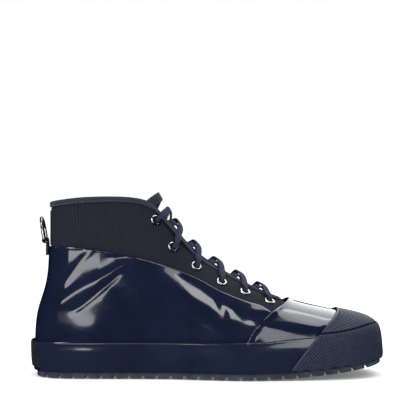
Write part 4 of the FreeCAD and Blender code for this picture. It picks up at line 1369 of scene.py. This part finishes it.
def ribbed_rubber_groove_shade(name, dark, light):
    """Satin rubber, duller and less reflective down in the grooves between ribs; its colour is painted
    shade, dark in the grooves and light on the crests.
    """
    paint = Paint(name, dark, 0.34, IOR=1.5)
    # crest runs from 0 in the grooves to 1 on the rib tops; the colour made from it is painted shade,
    # dark in the grooves and light on the crests.
    crest = paint.attribute("rib_height").spread(0.0, 1.0, -0.35, 0.3)
    mottle = paint.noise(240.0, 5.0)
    paint.tones(crest * (mottle * 0.8 + 0.6), dark, light)
    paint.feed("Roughness", crest * -0.25 + (mottle * 0.2 + 0.5))
    paint.feed("Specular IOR Level", crest.spread(0.05, 0.55, 0.0, 1.0))
    paint.bump((paint.noise(1500.0, 4.0), 0.5, 0.1))
    return paint.material


def weave(name, dark, light, pitch, sheen=0.35):
    """Plain weave of crossing threads in object space."""
    tint = (*[min(1.0, c * 6 + 0.2) for c in light], 1)
    paint = Paint(name, dark, 0.85, Sheen_Weight=sheen, Sheen_Roughness=0.4, Sheen_Tint=tint)
    warp = paint.wave("X", pitch).maths("MAXIMUM", paint.wave("Y", pitch))
    threads = warp * paint.wave("Z", pitch)
    mottle = paint.noise(210.0, 5.0)
    tone = threads * 0.55 + mottle * 0.6
    paint.tones(tone.spread(0.0, 1.0, 0.25, 0.95), dark, light)
    paint.feed("Roughness", mottle.spread(0.75, 0.93))
    paint.bump((threads, 0.55, pitch * 0.35), (paint.noise(2600.0, 3.0), 0.4, 0.08))
    return paint.material


def ribbed_canvas(name, dark, light):
    """Upright cords (in the mesh) crossed by fine weft threads."""
    paint = Paint(name, dark, 0.8, Sheen_Weight=0.08, Sheen_Roughness=0.45, Specular_IOR_Level=0.25,
                  Sheen_Tint=(0.25, 0.27, 0.36, 1))
    ridge = paint.attribute("cord_phase").maths("COSINE") * 0.5 + 0.5
    slub = paint.noise(150.0, 4.0, stretch=(6.0, 6.0, 0.8))
    tone = ridge * 0.5 + slub * 0.6
    paint.tones(tone.spread(0.0, 1.0, 0.2, 0.95), dark, light)
    paint.feed("Roughness", slub.spread(0.72, 0.92))
    paint.bump((paint.wave("Z", 0.8, 0.6), 0.45, 0.25), (slub, 0.4, 0.3),
               (paint.noise(2400.0, 3.0), 0.35, 0.08))
    return paint.material


def lace_weave(name, dark, light):
    """Braided flat lace: chevrons along its run, in lanes."""
    paint = Paint(name, dark, 0.8, Sheen_Weight=0.14, Sheen_Roughness=0.4, Specular_IOR_Level=0.3,
                  Sheen_Tint=(0.45, 0.45, 0.65, 1))
    across = paint.attribute("lace_across")
    phase = paint.attribute("lace_run") * 5.2 + across.maths("ABSOLUTE") * 4.2
    braid = phase.maths("SINE") * 0.5 + 0.5
    lanes = (across * 7.5).maths("SINE") * 0.5 + 0.5
    threads = braid * (lanes * 0.6 + 0.4)
    mottle = paint.noise(260.0, 4.0)
    tone = threads * 0.5 + mottle * 0.6
    paint.tones(tone.spread(0.0, 1.0, 0.2, 0.95), dark, light)
    paint.feed("Roughness", mottle.spread(0.7, 0.92))
    paint.bump((threads, 0.6, 0.3), (paint.noise(2600.0, 3.0), 0.4, 0.08))
    return paint.material


def plated(name, colour, rough=0.2):
    paint = Paint(name, colour, rough, metal=1.0)
    worn = tuple(c * 0.72 for c in colour)
    paint.tones(paint.noise(350.0, 5.0).spread(0.0, 1.0), worn, colour)
    paint.feed("Roughness", paint.noise(900.0, 3.0).spread(rough - 0.06, rough + 0.12))
    paint.bump((paint.noise(1200.0, 4.0), 0.15, 0.05))
    return paint.material


def clear_tip(name, dark, light):
    paint = Paint(name, (0.05, 0.05, 0.1), 0.25, Transmission_Weight=0.25, IOR=1.48, Coat_Weight=0.4)
    paint.tones(paint.noise(500.0).spread(0.0, 1.0), dark, light)
    paint.bump((paint.noise(900.0, 3.0), 0.2, 0.06))
    return paint.material


MATERIALS = {
    "rubber": gloss_rubber("rubber_gloss", (0.0048, 0.0075, 0.0195), (0.0066, 0.0102, 0.026)),
    "foxing": gloss_rubber("foxing_gloss", (0.0068, 0.0104, 0.0245), (0.0098, 0.0142, 0.0325),
                           low=0.08, high=0.22),
    # Cap tones: the dark one is painted shade for the rib grooves, the light one is for the rib crests.
    "cap": ribbed_rubber_groove_shade("cap_rubber_satin_groove_shade", (0.0024, 0.004, 0.012), (0.024, 0.033, 0.068)),
    "patch": matt_rubber("patch_rubber_rough", (0.004, 0.006, 0.014), (0.016, 0.019, 0.034),
                         grain=2200.0, rough=0.6, depth=0.3),
    # The sole's tones are its own matt rubber made lighter to offset the shade on its side: partly
    # painted light.
    "sole": matt_rubber("sole_rubber_matt_shade_lift", (0.023, 0.028, 0.046), (0.044, 0.052, 0.08)),
    "canvas": ribbed_canvas("canvas_ribbed", (0.0045, 0.0058, 0.012), (0.0115, 0.0142, 0.027)),
    "webbing": weave("webbing_dark", (0.006, 0.007, 0.012), (0.016, 0.018, 0.03), 0.7),
    "tape": weave("tape_twill", (0.0095, 0.0105, 0.025), (0.0235, 0.0245, 0.05), 0.55, sheen=0.16),
    "lining": weave("lining_plain", (0.012, 0.015, 0.03), (0.03, 0.035, 0.06), 0.8),
    "tongue": weave("tongue_canvas", (0.006, 0.0075, 0.016), (0.015, 0.018, 0.034), 0.8, sheen=0.15),
    "footbed": weave("footbed_cloth", (0.012, 0.014, 0.026), (0.032, 0.036, 0.06), 1.0),
    "thread": weave("thread_navy", (0.03, 0.03, 0.06), (0.07, 0.07, 0.13), 0.3),
    "lace": lace_weave("lace_braid", (0.0075, 0.0085, 0.032), (0.022, 0.0235, 0.075)),
    "steel": plated("eyelet_nickel", (0.78, 0.77, 0.74)),
    "ring": plated("ring_steel", (0.7, 0.69, 0.66), rough=0.16),
    "tip": clear_tip("aglet_plastic", (0.04, 0.04, 0.09), (0.09, 0.09, 0.15)),
    "board": matt_rubber("insole_board_fibre", (0.12, 0.085, 0.05), (0.2, 0.15, 0.09),
                         grain=900.0, rough=0.8),
    "foam": matt_rubber("midsole_foam", (0.03, 0.03, 0.035), (0.06, 0.06, 0.07),
                        grain=1100.0, rough=0.75),
    "stiff": matt_rubber("stiffener_fibre", (0.09, 0.08, 0.07), (0.16, 0.14, 0.12),
                         grain=800.0, rough=0.8),
}


def dress(piece, material, body="boot", nodes=()):
    piece.data.materials.clear()
    piece.data.materials.append(MATERIALS[material])
    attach(piece, body)
    if nodes:
        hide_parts(*nodes)
    return piece


def keep(node, material):
    """Give a carried-over CAD node its procedural material."""
    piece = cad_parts[node]
    for k in range(len(piece.material_slots)):
        piece.material_slots[k].material = MATERIALS[material]
    if not piece.material_slots:
        piece.data.materials.append(MATERIALS[material])


# ----------------------------------------------------------------- assembly
dress(make_quarters(), "rubber", nodes=("quarter_lateral", "quarter_medial"))
dress(make_vamp(), "rubber", nodes=("vamp",))
dress(make_foxing(), "foxing", nodes=("foxing_strip",))
dress(make_toe_cap(), "cap", nodes=("toe_cap",))
dress(make_heel_patch(), "patch", nodes=("heel_patch",))
for label, side in (("lateral", -1), ("medial", 1)):
    dress(make_canvas(side, label), "canvas", nodes=("canvas_" + label,))
    dress(make_lining(side, label), "lining", nodes=("lining_" + label,))
    dress(make_eyelets(side, label), "steel", nodes=("eyelets_" + label,))
dress(make_backstay(), "canvas", nodes=("backstay",))
dress(make_binding(), "tape", nodes=("collar_binding",))
dress(make_binding_stitches(), "thread")
tongue = dress(make_tongue(), "tongue", "tongue_leaf", ("tongue",))
dress(make_hem(), "tape", "tongue_leaf", ("tongue_hem",))
dress(make_hem_stitches(), "thread", "tongue_leaf")
lace, lace_ends = make_lace()
dress(lace, "lace", nodes=("lace",))
dress(make_aglets(lace_ends), "tip", nodes=("aglets",))
dress(make_ring(), "ring", "ring", ("heel_ring",))
dress(make_ring_loop(), "webbing", nodes=("ring_loop",))
dress(make_footbed(), "footbed", nodes=("footbed",))
for node, material in (("outsole", "sole"), ("midsole", "foam"), ("insole_board", "board"),
                       ("heel_counter", "stiff"), ("toe_puff", "stiff"),
                       ("eyestay_lateral", "stiff"), ("eyestay_medial", "stiff")):
    keep(node, material)

# ------------------------------------------------------- floor, light, lens
bpy.ops.mesh.primitive_plane_add(size=30, location=(0, 0, -0.0006))
floor = bpy.context.object
floor.name = "studio_floor"
floor_paint = Paint("floor_white", (0.92, 0.92, 0.92), 0.7, Specular_IOR_Level=0.0,
                    Emission_Color=(1, 1, 1, 1), Emission_Strength=0.14)
floor.data.materials.append(floor_paint.material)
floor.visible_glossy = False

world = bpy.data.worlds.new("studio")
bpy.context.scene.world = world
world.use_nodes = True
backdrop = world.node_tree.nodes["Background"]
backdrop.inputs["Color"].default_value = (1, 1, 1, 1)
backdrop.inputs["Strength"].default_value = 1.0
world.cycles_visibility.glossy = False


def softbox(name, aim, azimuth, elevation, distance, width, height, power):
    """Panel seen from aim at an azimuth (0 toward the camera, + toward the toe)."""
    data = bpy.data.lights.new(name, "AREA")
    data.shape = "RECTANGLE"
    data.size, data.size_y = width, height
    data.energy = power
    lamp = bpy.data.objects.new(name, data)
    bpy.context.scene.collection.objects.link(lamp)
    turn, lift = math.radians(azimuth), math.radians(elevation)
    reach = Vector((math.sin(turn) * math.cos(lift), -math.cos(turn) * math.cos(lift), math.sin(lift)))
    lamp.location = Vector(aim) + reach * distance
    lamp.rotation_euler = (-reach).to_track_quat("-Z", "Y").to_euler()
    lamp.visible_camera = False


# Name, aim, azimuth, elevation, distance, width, height (m, degrees) and watts.
LIGHTS = [
    ("sweep_behind", (0.08, 0, 0.05), 152, 34, 1.4, 1.0, 1.4, 8),
    ("overhead", (0.08, 0, 0.05), 130, 75, 1.35, 0.9, 0.9, 6),
    ("key", (-0.04, 0, 0.07), -42, 42, 1.7, 0.25, 0.9, 11),
    ("patch_waist", (0.013, -0.038, 0.055), 8.7, 45.9, 0.3, 0.065, 0.085, 0.075),
    ("patch_heel", (-0.24, 0, 0.0975), 0, 0, 0.33, 0.24, 0.055, 0.14),
    ("patch_heel_top", (-0.109, 0, 0.1275), 0, 0, 0.33, 0.05, 0.018, 0.0096),
    ("fill_toe", (0.07, -0.04, 0.03), 18, 28, 1.0, 0.24, 0.26, 0.45),
]
for light in LIGHTS:
    softbox(*light)

lens = bpy.data.cameras.new("lens")
lens.lens = 113.4
lens.sensor_width = 36
camera = bpy.data.objects.new("camera", lens)
bpy.context.scene.collection.objects.link(camera)
camera.location = (0.0, -1.1, 0.1394)
camera.rotation_euler = (math.radians(90), 0, 0)
bpy.context.scene.camera = camera
bpy.context.scene.view_settings.view_transform = "Standard"
